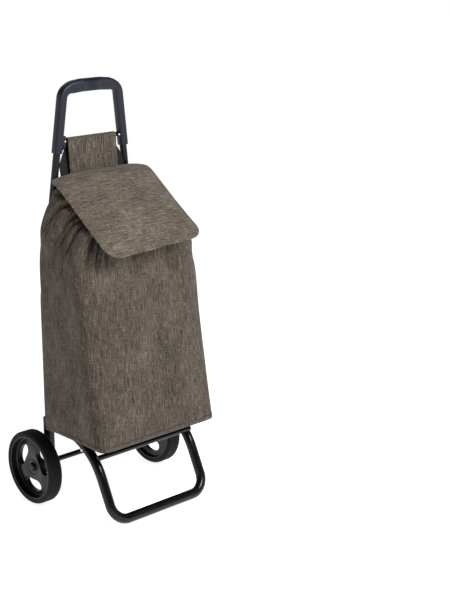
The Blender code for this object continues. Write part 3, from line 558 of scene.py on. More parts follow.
def turn_to(direction: Place) -> Matrix:
    """Rotation that takes +Z to a direction."""
    return Vector(direction).to_track_quat("Z", "Y").to_matrix().to_4x4()


def turned(name: str, centre: Place, direction: Place, profile: Sequence[tuple[float, float]],
           sides: int = 32) -> Object:
    """Draw a circle out through rings of a profile, as on a lathe.

    Args:
        name: The piece's name.
        centre: Where the profile's zero lies.
        direction: The axis.
        profile: (along, radius) of each ring.  It ends where it began, or on the axis.
        sides: Vertices of each ring.

    Returns:
        The closed piece.
    """
    along, radius = profile[0]
    tip = radius == 0
    start = 0.0001 if tip else radius
    bpy.ops.object.select_all(action="DESELECT")
    bpy.ops.mesh.primitive_circle_add(vertices=sides, radius=start, location=(0, 0, along),
                                      fill_type="NGON" if tip else "NOTHING")
    obj = named(name)
    settle(obj)
    with editing(obj):
        bpy.ops.mesh.select_all(action="SELECT")
        for following, next_radius in profile[1:]:
            goal = next_radius or 0.0001
            bpy.ops.mesh.extrude_edges_move(TRANSFORM_OT_translate={"value": (0, 0, following - along)})
            scale = goal / start
            bpy.ops.transform.resize(value=(scale, scale, 1), center_override=(0, 0, following))
            along, start = following, goal
        if profile[-1][1] == 0:
            bpy.ops.mesh.edge_face_add()
    obj.matrix_world = Matrix.Translation(centre) @ turn_to(direction)
    settle(obj)
    return tidy(obj)


def arc(centre: Place, radius: float, start: float, end: float, steps: int) -> list[tuple[float, float]]:
    """Points of a profile's round corner.

    Args:
        centre: (along, radius) of the arc's centre.
        radius: The arc's radius.
        start: First angle in degrees, from the axis' direction.
        end: Last angle in degrees.
        steps: Number of steps.

    Returns:
        The points, from start to end.
    """
    turns = [radians(start + (end - start) * k / steps) for k in range(steps + 1)]
    return [(centre[0] + radius * cos(t), centre[1] + radius * sin(t)) for t in turns]


def tube_section(name: str, centre: Place, direction: Place, diameter: float, sides: int = 28) -> Object:
    """Open circle that a tube is drawn from, square to its start.

    Args:
        name: The tube's name.
        centre: Where the tube starts.
        direction: Which way it sets off.
        diameter: Outer diameter.
        sides: Facets round the tube.

    Returns:
        The circle's object.
    """
    bpy.ops.object.select_all(action="DESELECT")
    bpy.ops.mesh.primitive_circle_add(vertices=sides, radius=diameter / 2, fill_type="NOTHING")
    obj = named(name)
    obj.matrix_world = Matrix.Translation(centre) @ turn_to(direction)
    settle(obj)
    return obj


def draw_along(obj: Object, corners: Sequence[Vector], radii: Sequence[float], step: float = 5.0) -> None:
    """Draw a section along straight runs and round bends.

    Args:
        obj: The section, which lies at the first corner.
        corners: The path's ends and corners.
        radii: Bend radius at each inner corner.
        step: Degrees of each step round a bend.
    """
    with editing(obj):
        bpy.ops.mesh.select_all(action="SELECT")
        at = corners[0]
        for before, corner, after, radius in zip(corners, corners[1:], corners[2:], radii):
            into = (corner - before).normalized()
            out = (after - corner).normalized()
            angle = acos(max(-1.0, min(1.0, into.dot(out))))
            begin = corner - into * radius * tan(angle / 2)
            axis = into.cross(out).normalized()
            centre = begin + axis.cross(into) * radius
            bpy.ops.mesh.extrude_edges_move(TRANSFORM_OT_translate={"value": begin - at})
            # The spin operator turns clockwise for a positive angle.
            bpy.ops.mesh.spin(steps=max(2, round(angle / radians(step))), angle=-angle, center=centre,
                              axis=axis)
            at = corner + out * radius * tan(angle / 2)
        bpy.ops.mesh.extrude_edges_move(TRANSFORM_OT_translate={"value": corners[-1] - at})


def mirror_half(obj: Object) -> None:
    """Mirror a half in the plane of symmetry and weld it there."""
    modify(obj, "MIRROR", use_axis=(True, False, False), use_clip=True, merge_threshold=0.0001)


def mirrored_copy(obj: Object, name: str) -> Object:
    """The other side's copy of a piece, with its own mesh.

    Args:
        obj: The piece to copy.
        name: The copy's name.

    Returns:
        The mirrored copy.
    """
    select_only(obj)
    bpy.ops.object.duplicate(linked=False)
    other = named(name)
    other.scale.x = -1
    settle(other)
    return tidy(other)


def dress(obj: Object, *materials: bpy.types.Material) -> Object:
    """Give a piece its materials in order, and return it."""
    obj.data.materials.clear()
    for made in materials:
        obj.data.materials.append(made)
    return obj


def finish_piece(obj: Object, body: str, slot: str, *nodes: str) -> None:
    """Let a piece ride on a body and stand for CAD nodes, and log it.

    Args:
        obj: The finished piece.
        body: The body that it rides on.
        slot: The record's material slot; not used.
        *nodes: The CAD nodes that it stands for.
    """
    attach(obj, body)
    if nodes:
        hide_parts(*nodes)
    log.info("%s: %d faces", obj.name, len(obj.data.polygons))


def smooth(value: float) -> float:
    """Ease from 0 to 1."""
    clipped = min(1.0, max(0.0, value))
    return clipped * clipped * (3 - 2 * clipped)


# --- Frame ------------------------------------------------------------------------------------------
@dataclass
class Chassis:
    """Steel tubes, their plastic ends and the fasteners that show."""

    finishes: Finishes
    post_d: float = 0.024
    post_wall: float = 0.0012
    upright_d: float = 0.016
    upright_wall: float = 0.001
    foot_d: float = 0.022
    foot_wall: float = 0.0015
    foot_reach: float = 0.231
    foot_slope: float = radians(64)
    foot_bend: float = 0.140
    foot_corner: float = 0.038
    crossbar_d: float = 0.012
    rod_d: float = 0.010
    straight_rise: float = 0.276
    upright_bend: float = 0.200
    lean_in: float = 0.1276
    lean_forward: float = 0.034
    flange: float = 0.0025
    bead: float = 0.003

    def __post_init__(self) -> None:
        """Read the frame's places."""
        low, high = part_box("right_post_collar")
        self.half = (low.x + high.x) / 2
        self.axle_y = (low.y + high.y) / 2
        self.collar_z = high.z
        self.bend_z = self.collar_z + self.straight_rise
        self.foot_z = (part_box("right_foot_bolt")[0].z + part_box("right_foot_bolt")[1].z) / 2

    def upright_at(self, z: float) -> Vector:
        """Centre of the right upright at a height above its bend."""
        rise = z - self.bend_z
        return Vector((self.half - self.lean_in * rise, self.axle_y - self.lean_forward * rise, z))

    def both(self, right: Object, node: str, body: str, slot: str, material: bpy.types.Material) -> None:
        """Dress a right-hand piece, copy it to the left, and attach both to the body.

        Args:
            right: The right-hand piece.
            node: The CAD node's name without its side.
            body: The body that both ride on.
            slot: The material slot.
            material: The finish.
        """
        dress(right, material)
        left = mirrored_copy(right, f"left_{node}_piece")
        for side, piece in ((Side.RIGHT, right), (Side.LEFT, left)):
            finish_piece(piece, body, slot, f"{side.word}_{node}")

    def build_foot(self) -> None:
        """Bent foot tube, made as a right half and mirrored, with its crossbar."""
        bar_z = self.foot_d / 2
        corner_y = self.axle_y - self.foot_reach + (self.foot_z - bar_z) / tan(self.foot_slope)
        start = Vector((self.half, self.axle_y - self.post_d / 2 + 0.002, self.foot_z))
        corners = [start, Vector((self.half, corner_y, self.foot_z)),
                   Vector((self.half, self.axle_y - self.foot_reach, bar_z)),
                   Vector((0, self.axle_y - self.foot_reach, bar_z))]
        foot = tube_section("foot_tube_piece", start, (0, -1, 0), self.foot_d, 32)
        draw_along(foot, corners, [self.foot_bend, self.foot_corner], 4.0)
        mirror_half(foot)
        tidy(foot)
        modify(foot, "SOLIDIFY", thickness=self.foot_wall, offset=-1.0)
        tidy(foot, 50.0)
        finish_piece(dress(foot, self.finishes.coat), CHASSIS, "frame", "foot_tube")

        low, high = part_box("foot_crossbar")
        middle = (low + high) / 2
        reach, radius = self.half + 0.002, self.crossbar_d / 2
        chamfer = 0.0008
        bar = turned("foot_crossbar_piece", middle, (1, 0, 0), [
            (-reach, 0), (-reach, radius - chamfer), (-reach + chamfer, radius),
            (-self.half + self.foot_d / 2, radius),
            (self.half - self.foot_d / 2, radius), (reach - chamfer, radius),
            (reach, radius - chamfer), (reach, 0)])
        finish_piece(dress(bar, self.finishes.coat), CHASSIS, "frame", "foot_crossbar")
        for side in Side:
            self.build_weld(side, middle)

    def build_weld(self, side: Side, bar: Vector) -> None:
        """Weld bead where the crossbar meets a leg: a row of overlapping ripples.

        Args:
            side: The leg.
            bar: The crossbar's middle.
        """
        ripples = 9
        bpy.ops.object.select_all(action="DESELECT")
        bpy.ops.mesh.primitive_ico_sphere_add(subdivisions=2, radius=self.bead / 2)
        weld = named(f"{side.word}_weld_bead")
        weld.scale = (1.0, 1.1, 0.7)
        settle(weld)
        pitch = self.foot_d * 0.9 / ripples
        behind = Vector((0, self.crossbar_d * 0.36, -self.crossbar_d * 0.42))
        start = bar + behind + Vector((side.value * self.half - self.foot_d * 0.45, 0, 0))
        modify(weld, "ARRAY", count=ripples, use_relative_offset=False, use_constant_offset=True,
               constant_offset_displace=(pitch, 0, 0))
        weld.location = start
        settle(weld)
        modify(weld, "REMESH", mode="VOXEL", voxel_size=0.0006)
        modify(weld, "SMOOTH", factor=0.5, iterations=2)
        finish_piece(dress(tidy(weld), self.finishes.coat), CHASSIS, "frame")

    def build_uprights(self) -> None:
        """Round uprights that rise straight and then lean in and forward."""
        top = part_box("right_upright")[1].z - 0.002
        start = Vector((self.half, self.axle_y, self.collar_z - 0.004))
        corners = [start, Vector((self.half, self.axle_y, self.bend_z)), self.upright_at(top)]
        upright = tube_section("right_upright_piece", start, (0, 0, 1), self.upright_d)
        draw_along(upright, corners, [self.upright_bend], 1.0)
        tidy(upright)
        modify(upright, "SOLIDIFY", thickness=self.upright_wall, offset=-1.0)
        self.both(tidy(upright, 50.0), "upright", CHASSIS, "frame", self.finishes.coat)

    def build_posts(self) -> None:
        """Posts that hold the axle, with a collar on top and a plug below."""
        low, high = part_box("right_post")
        radius, inner = self.post_d / 2, self.post_d / 2 - self.post_wall
        at = Vector((self.half, self.axle_y, 0))
        post = turned("right_post_piece", at, (0, 0, 1), [
            (low.z, inner), (low.z, radius - 0.0004), (low.z + 0.0004, radius), (high.z - 0.0004, radius),
            (high.z, radius - 0.0004), (high.z, inner), (low.z, inner)])
        self.both(post, "post", CHASSIS, "frame", self.finishes.coat)

        top = self.collar_z
        hole = self.upright_d / 2 + 0.0003
        collar = turned("right_post_collar_piece", at, (0, 0, 1), [
            (top - 0.012, hole), (top - 0.012, inner - 0.0003), (top - self.flange, inner - 0.0003),
            (top - self.flange, radius - 0.0001), *arc((top - 0.0009, radius - 0.0009), 0.0009, 90, 0, 4),
            *arc((top - 0.0008, hole + 0.0008), 0.0008, 0, -90, 3), (top - 0.012, hole)])
        self.both(collar, "post_collar", CHASSIS, "fittings", self.finishes.fitting)

        low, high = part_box("right_post_plug")
        plug = turned("right_post_plug_piece", at, (0, 0, 1), [
            (low.z, 0), (low.z, radius * 0.7), *arc((low.z + 0.0015, radius - 0.0015), 0.0015, 180, 90, 4),
            (low.z + 0.003, radius), (low.z + 0.003, inner - 0.0003), (high.z, inner - 0.0003), (high.z, 0)])
        self.both(plug, "post_plug", CHASSIS, "fittings", self.finishes.fitting)

    def build_fasteners(self) -> None:
        """Leg rivets, foot bolts, handle screws and the screws of the loop's rod."""
        low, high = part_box("right_leg_rivet")
        middle = (low + high) / 2
        head_r = (high.z - low.z) / 2
        face = self.half + self.foot_d / 2 + 0.0003
        dome = high.x - face
        rivet = turned("right_leg_rivet_piece", (face, middle.y, middle.z), (1, 0, 0), [
            (-0.006, 0), (-0.006, 0.0024), (0, 0.0024), (0, head_r),
            *[(dome * sin(t), head_r * cos(t)) for t in (0.25, 0.6, 0.95, 1.25)], (dome, 0)], 24)
        self.both(rivet, "leg_rivet", CHASSIS, "zinc", self.finishes.zinc)

        low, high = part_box("right_foot_bolt")
        middle = (low + high) / 2
        head_r, head = (high.x - low.x) / 2, 0.004
        socket_r = head_r * 0.45
        bolt = turned("right_foot_bolt_piece", (middle.x, high.y, middle.z), (0, -1, 0), [
            (0.002, 0), (0.002, socket_r), (0, socket_r + 0.0002), (0, head_r - 0.0012),
            *arc((0.0012, head_r - 0.0012), 0.0012, 180, 90, 4)[1:], (head, head_r), (head, 0.003),
            (high.y - low.y, 0.003), (high.y - low.y, 0)], 24)
        self.both(bolt, "foot_bolt", CHASSIS, "zinc", self.finishes.zinc)

        self.build_screw("handle_screw", 0.0035)
        self.build_screw("rod_screw", 0.0025)

    def build_screw(self, node: str, shank: float) -> None:
        """Pan head screw with a cross recess.

        Args:
            node: The screw's CAD node without its side.
            shank: Shank diameter.
        """
        low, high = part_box(f"right_{node}")
        middle = (low + high) / 2
        head_r = (high.x - low.x) / 2
        outwards = 1 if node == "handle_screw" else -1
        top = high.y if outwards > 0 else low.y
        depth, head = high.y - low.y, head_r * 0.55
        screw = turned(f"right_{node}_piece", (middle.x, top, middle.z), (0, -outwards, 0), [
            (0, 0), (0, head_r * 0.45), (head * 0.35, head_r * 0.85), (head, head_r), (head, shank / 2),
            (depth, shank / 2), (depth, 0)], 24)
        for turn in (0, pi / 2):
            bpy.ops.object.select_all(action="DESELECT")
            bpy.ops.mesh.primitive_cube_add(size=1, location=(middle.x, top, middle.z),
                                            rotation=(0, turn + pi / 4, 0),
                                            scale=(head_r * 1.1, head, head_r * 0.26))
            cutter = named("recess")
            settle(cutter)
            join_solids(screw, cutter, "DIFFERENCE")
        self.both(tidy(screw, 30.0), node, CHASSIS, "zinc", self.finishes.zinc)

    def build(self) -> None:
        """Build the whole chassis but for its handle."""
        self.build_foot()
        self.build_uprights()
        self.build_posts()
        self.build_fasteners()


# --- Wheels -----------------------------------------------------------------------------------------
@dataclass
class Wheels:
    """Foam tyres on moulded rims with three broad spokes, and the caps on the axle's ends."""

    finishes: Finishes
    tyre_thickness: float = 0.0105
    shoulder: float = 0.0055
    tread_grooves: int = 3
    groove: float = 0.0008
    rim_wall: float = 0.004
    web: float = 0.006
    web_offset: float = -0.003
    web_crown: float = 0.003
    hub_r: float = 0.017
    bore_r: float = 0.0091
    hub_out: float = 0.0045
    hub_in: float = 0.0175
    window_half_angle: float = radians(40)
    window_margin: float = 0.0115

    def __post_init__(self) -> None:
        """Read the right wheel's place and size."""
        low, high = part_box("right_tyre")
        self.middle = (low + high) / 2
        self.half = (high.x - low.x) / 2
        self.radius = (high.z - low.z) / 2
        self.seat_r = self.radius - self.tyre_thickness

    def build_tyre(self) -> Object:
        """Tyre with round shoulders, shallow tread grooves and a bevelled inner edge.

        Returns:
            The right tyre.
        """
        half, radius = self.half, self.radius
        pitch = 2 * (half - self.shoulder) / (self.tread_grooves + 1)
        tread = []
        for k in range(self.tread_grooves):
            at = half - self.shoulder - pitch * (k + 1)
            tread += [(at + 2 * self.groove, radius), (at + self.groove, radius - self.groove),
                      (at - self.groove, radius - self.groove), (at - 2 * self.groove, radius)]
        inner = self.seat_r + 0.0002
        profile = [(half - 0.0012, inner), (half, inner + 0.0015),
                   *arc((half - self.shoulder, radius - self.shoulder), self.shoulder, 0, 90, 6), *tread,
                   *arc((self.shoulder - half, radius - self.shoulder), self.shoulder, 90, 180, 6),
                   (-half, inner + 0.0015), (0.0012 - half, inner), (half - 0.0012, inner)]
        return dress(turned("right_tyre_piece", self.middle, (1, 0, 0), profile, 96), self.finishes.tyre)

    def window_cutter(self, index: int) -> Object:
        """Solid that cuts one of the three openings between the spokes.

        Args:
            index: Which opening, from 0 to 2.

        Returns:
            The cutter.
        """
        bpy.ops.object.select_all(action="DESELECT")
        bpy.ops.mesh.primitive_circle_add(vertices=56, radius=1, fill_type="NGON")
        cutter = named("window")
        inner = self.hub_r + self.window_margin
        outer = self.seat_r - self.rim_wall - self.window_margin
        squareness = 2.3
        for vert in cutter.data.vertices:
            x, y = vert.co.x, vert.co.y
            size = (abs(x) ** squareness + abs(y) ** squareness) ** (-1 / squareness)
            reach_across, reach_out = x * size, y * size
            radius = (inner + outer) / 2 + (outer - inner) / 2 * reach_out
            turn = self.window_half_angle * reach_across + index * 2 * pi / 3
            vert.co = (-self.half, radius * sin(turn), -radius * cos(turn))
        with editing(cutter):
            bpy.ops.mesh.select_all(action="SELECT")
            bpy.ops.mesh.extrude_region_move(TRANSFORM_OT_translate={"value": (2 * self.half, 0, 0)})
        cutter.location = self.middle
        settle(cutter)
        return tidy(cutter)

    def build_rim(self) -> Object:
        """Rim with a lip, a deep barrel, a crowned web and three windows.

        Returns:
            The right rim.
        """
        lip = self.half - 0.001
        wall_r = self.seat_r - self.rim_wall
        out, back = self.web_offset + self.web / 2, self.web_offset - self.web / 2
        inner = self.hub_r + 0.001
        crown = [(out + (self.hub_out - out) * cos(pi / 2 * (k / 6) ** 1.5) + self.web_crown * sin(pi * k / 6),
                  inner + (wall_r - 0.004 - inner) * k / 6) for k in range(7)]
        profile = [(self.hub_out - 0.0006, self.bore_r), (self.hub_out, self.bore_r + 0.0006),
                   *arc((self.hub_out - 0.0012, self.hub_r - 0.0012), 0.0012, 0, 90, 3), *crown,
                   *arc((out + 0.004, wall_r - 0.004), 0.004, 180, 90, 4)[1:],
                   (lip - 0.003, wall_r + 0.0005), *arc((lip - 0.0009, wall_r + 0.0016), 0.0009, -90, 0, 3),
                   (lip, self.seat_r - 0.0004), (lip - 0.0004, self.seat_r), (0.0004 - lip, self.seat_r),
                   (-lip, self.seat_r - 0.0004), (-lip, wall_r + 0.001), (back - 0.004, wall_r),
                   *arc((back - 0.004, wall_r - 0.004), 0.004, 90, 0, 4)[1:], (back, inner),
                   (-self.hub_in, self.hub_r), (-self.hub_in, self.bore_r),
                   (self.hub_out - 0.0006, self.bore_r)]
        rim = turned("right_rim_piece", self.middle, (1, 0, 0), profile, 96)
        for index in range(3):
            join_solids(rim, self.window_cutter(index), "DIFFERENCE")
        with editing(rim):
            bpy.ops.mesh.select_all(action="SELECT")
            bpy.ops.mesh.remove_doubles(threshold=2e-5)
        modify(rim, "BEVEL", width=0.0022, segments=3, limit_method="ANGLE", angle_limit=radians(50))
        return dress(tidy(rim, 40.0), self.finishes.rim)

    def build_cap(self) -> Object:
        """Push-on cap over the axle's end.

        Returns:
            The right cap.
        """
        low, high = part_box("right_axle_cap")
        middle = (low + high) / 2
        height, radius, crown = high.x - low.x, (high.z - low.z) / 2, 0.0045
        profile = [(0, 0.0063), (0, radius - 0.0004), (0.0004, radius),
                   *arc((height - crown, radius - crown), crown, 90, 25, 6), (height - 0.0002, radius * 0.4),
                   (height, 0)]
        cap = turned("right_axle_cap_piece", (low.x, middle.y, middle.z), (1, 0, 0), profile, 40)
        return dress(cap, self.finishes.fitting)

    def build_axle(self) -> Object:
        """Axle of black coated bar, with bevelled ends.

        Returns:
            The axle.
        """
        low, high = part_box("axle")
        middle, half, radius, bevel = (low + high) / 2, (high.x - low.x) / 2, (high.z - low.z) / 2, 0.0008
        profile = [(-half, 0), (-half, radius - bevel), (bevel - half, radius), (0, radius),
                   (half - bevel, radius), (half, radius - bevel), (half, 0)]
        return dress(turned("axle_piece", middle, (1, 0, 0), profile, 32), self.finishes.coat)

    def build(self) -> None:
        """Build the axle, and both wheels and caps."""
        finish_piece(self.build_axle(), CHASSIS, "frame", "axle")
        for piece, node, slot in ((self.build_tyre(), "tyre", "tyre"), (self.build_rim(), "rim", "rim"),
                                  (self.build_cap(), "axle_cap", "fittings")):
            left = mirrored_copy(piece, f"left_{node}_piece")
            for side, obj in ((Side.RIGHT, piece), (Side.LEFT, left)):
                body = CHASSIS if node == "axle_cap" else f"{side.word}_wheel"
                finish_piece(obj, body, slot, f"{side.word}_{node}")


# --- Handle -----------------------------------------------------------------------------------------
@dataclass
class Handle:
    """Moulded arch over both uprights, with a lug on each leg for the loop's rod."""

    finishes: Finishes
    chassis: Chassis
    leg: float = 0.020
    round_edge: float = 0.006
    rise: float = 0.311
    height: float = 0.134
    crown: float = 0.009
    corner: float = 0.024
    crown_r: float = 0.400
    grip: float = 0.027
    lug_tip: float = 0.070
    lug_height: float = 0.030
    lug_depth: float = 0.016
    lug_chamfer: float = 0.010

    def build_arch(self) -> Object:
        """Right half of the arch, drawn from its foot, mirrored and thickened at the grip.

        Returns:
            The arch.
        """
        bottom_z = self.chassis.bend_z + self.rise
        foot = self.chassis.upright_at(bottom_z)
        corner = self.chassis.upright_at(bottom_z + self.height)
        apex = Vector((0, corner.y, corner.z + self.crown))
        along = (corner - foot).normalized()
        bpy.ops.object.select_all(action="DESELECT")
        bpy.ops.mesh.primitive_plane_add(size=self.leg)
        arch = named("handle_piece")
        with editing(arch):
            bpy.ops.mesh.select_all(action="SELECT")
            bpy.ops.mesh.bevel(offset=self.round_edge, segments=6, affect="VERTICES")
            bpy.ops.mesh.delete(type="ONLY_FACE")
        facing = Vector((0, -1, 0))
        across = facing.cross(along).normalized()
        square = Matrix((across, along.cross(across), along)).transposed().to_4x4()
        arch.matrix_world = Matrix.Translation(foot) @ square
        settle(arch)
        # The crown is level in the plane of symmetry, where the mirror closes the arch.
        sag = self.crown_r * (1 - cos(atan(self.crown / corner.x)))
        level = Vector((0, corner.y, apex.z - sag))
        turn = atan(self.crown / corner.x)
        knee = Vector((self.crown_r * tan(turn / 2), corner.y, level.z))
        draw_along(arch, [foot, corner, knee, level], [self.corner, self.crown_r], 4.0)
        for vert in arch.data.vertices:
            share = smooth((corner.x - 0.004 - vert.co.x) / 0.024)
            middle = corner.z + self.crown * (1 - max(0.0, vert.co.x) / corner.x)
            if share > 0 and vert.co.z > corner.z - self.leg:
                vert.co.z = middle + (vert.co.z - middle) * (1 + (self.grip / self.leg - 1) * share)
            if vert.co.x < 1e-4:
                vert.co.x = 0
        mirror_half(arch)
        with editing(arch):
            bpy.ops.mesh.select_non_manifold()
            bpy.ops.mesh.edge_face_add()
        return tidy(arch, 50.0)

    def build_lug(self, side: Side, rod_y: float, rod_z: float) -> Object:
        """Lug on a leg's inner face, with a chamfer below.

        Args:
            side: The leg.
            rod_y: The rod's place.
            rod_z: The rod's height.

        Returns:
            The lug's solid, which ends inside the leg.
        """
        root = self.chassis.upright_at(rod_z).x - self.leg / 2 + 0.003
        top = rod_z + self.lug_height / 2 - 0.003
        bpy.ops.object.select_all(action="DESELECT")
        bpy.ops.mesh.primitive_cube_add(size=1, location=((self.lug_tip + root) / 2, rod_y,
                                                          top - self.lug_height / 2),
                                        scale=(root - self.lug_tip, self.lug_depth, self.lug_height))
        lug = named(f"{side.word}_lug")
        settle(lug)
        with editing(lug):
            pick(lug, lambda co: co.x < self.lug_tip + 0.001 and co.z < rod_z)
            bpy.ops.mesh.bevel(offset=self.lug_chamfer * 0.9, segments=1)
            pick(lug, lambda co: co.x < root - 0.001)
            bpy.ops.mesh.bevel(offset=0.002, segments=3)
        if side is Side.LEFT:
            lug.scale.x = -1
            settle(lug)
        return tidy(lug)

    def build(self) -> None:
        """Build the handle with its lugs and sockets, and the rod between the lugs."""
        arch = self.build_arch()
        low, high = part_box("loop_rod")
        rod = (low + high) / 2
        reach, radius = (high.x - low.x) / 2, self.chassis.rod_d / 2
        for side in Side:
            join_solids(arch, self.build_lug(side, rod.y, rod.z), "UNION")
            foot = self.chassis.upright_at(self.chassis.bend_z + self.rise)
            foot.x *= side.value
            along = self.chassis.upright_at(high.z + 0.05) - self.chassis.upright_at(self.chassis.bend_z)
            along.x *= side.value
            socket_r = self.chassis.upright_d / 2 + 0.0003
            socket = turned("socket", foot, along, [(-0.01, 0), (-0.01, socket_r), (0.0705, socket_r),
                                                    (0.0705, 0)])
            join_solids(arch, socket, "DIFFERENCE")
        hole_r = radius + 0.0003
        hole = turned("rod_hole", rod, (1, 0, 0), [
            (-reach, 0), (-reach, hole_r), (reach, hole_r), (reach, 0)])
        join_solids(arch, hole, "DIFFERENCE")
        finish_piece(dress(tidy(arch, 32.0), self.finishes.grip), CHASSIS, "handle", "handle")
        bar = turned("loop_rod_piece", rod, (1, 0, 0), [
            (-reach, 0), (-reach, radius), (0.0, radius), (reach, radius), (reach, 0)], 28)
        finish_piece(dress(bar, self.finishes.coat), CHASSIS, "frame", "loop_rod")


# --- Soft goods -------------------------------------------------------------------------------------
def cloth_piece(name: str, points: np.ndarray, uvs: np.ndarray, closed: bool) -> Object:
    """Mesh from a grid of points, with UVs in metres of flat cloth.

    Args:
        name: The piece's name.
        points: Rows x columns x 3.
        uvs: Rows x columns x 2, or one column more where the rows are closed.
        closed: Whether each row is a ring.

    Returns:
        The open sheet or shell.
    """
    rows, columns = points.shape[:2]
    spans = columns if closed else columns - 1
    mesh = bpy.data.meshes.new(name)
    faces = [(r * columns + c, r * columns + (c + 1) % columns,
              (r + 1) * columns + (c + 1) % columns, (r + 1) * columns + c)
             for r in range(rows - 1) for c in range(spans)]
    mesh.from_pydata(points.reshape(-1, 3).tolist(), [], faces)
    layer = mesh.uv_layers.new(name="cloth")
    corner_uvs = [uvs[r + dr, c + dc] for r in range(rows - 1) for c in range(spans)
                  for dr, dc in ((0, 0), (0, 1), (1, 1), (1, 0))]
    layer.data.foreach_set("uv", np.array(corner_uvs, dtype=np.float32).ravel())
    obj = bpy.data.objects.new(name, mesh)
    bpy.context.scene.collection.objects.link(obj)
    return obj


def lengths_along(points: np.ndarray) -> np.ndarray:
    """Distance from the first point to each of the points."""
    steps = np.linalg.norm(np.diff(points, axis=0), axis=1)
    return np.concatenate(([0.0], np.cumsum(steps)))


def sheet_area(obj: Object) -> float:
    """Area of one side of an open sheet's mesh."""
    return sum(polygon.area for polygon in obj.data.polygons)


def thicken(obj: Object, thickness: float) -> None:
    """Give a sheet its thickness on the inner side, with the coating there."""
    modify(obj, "SOLIDIFY", thickness=thickness, offset=-1.0, material_offset=1, use_even_offset=False)
    select_only(obj)
    bpy.ops.object.shade_smooth()


def ease(values: np.ndarray) -> np.ndarray:
    """Ease each value from 0 to 1."""
    clipped = np.clip(values, 0.0, 1.0)
    return clipped * clipped * (3 - 2 * clipped)


def wander(place: np.ndarray, seed: int, waves: int = 5, period: float = 1.0) -> np.ndarray:
    """Smooth curve without a pattern, which closes on itself after a period.

    Args:
        place: Where it is read.
        seed: Which curve.
        waves: How many harmonics it has.
        period: Where it repeats.

    Returns:
        Values of about -1 to 1.
    """
    chance = np.random.default_rng(seed)
    total = np.zeros_like(place, dtype=float)
    for k in range(1, waves + 1):
        total += chance.normal() / k ** 0.7 * np.sin(2 * pi * (k * place / period + chance.random()))
    return total / sqrt(waves)


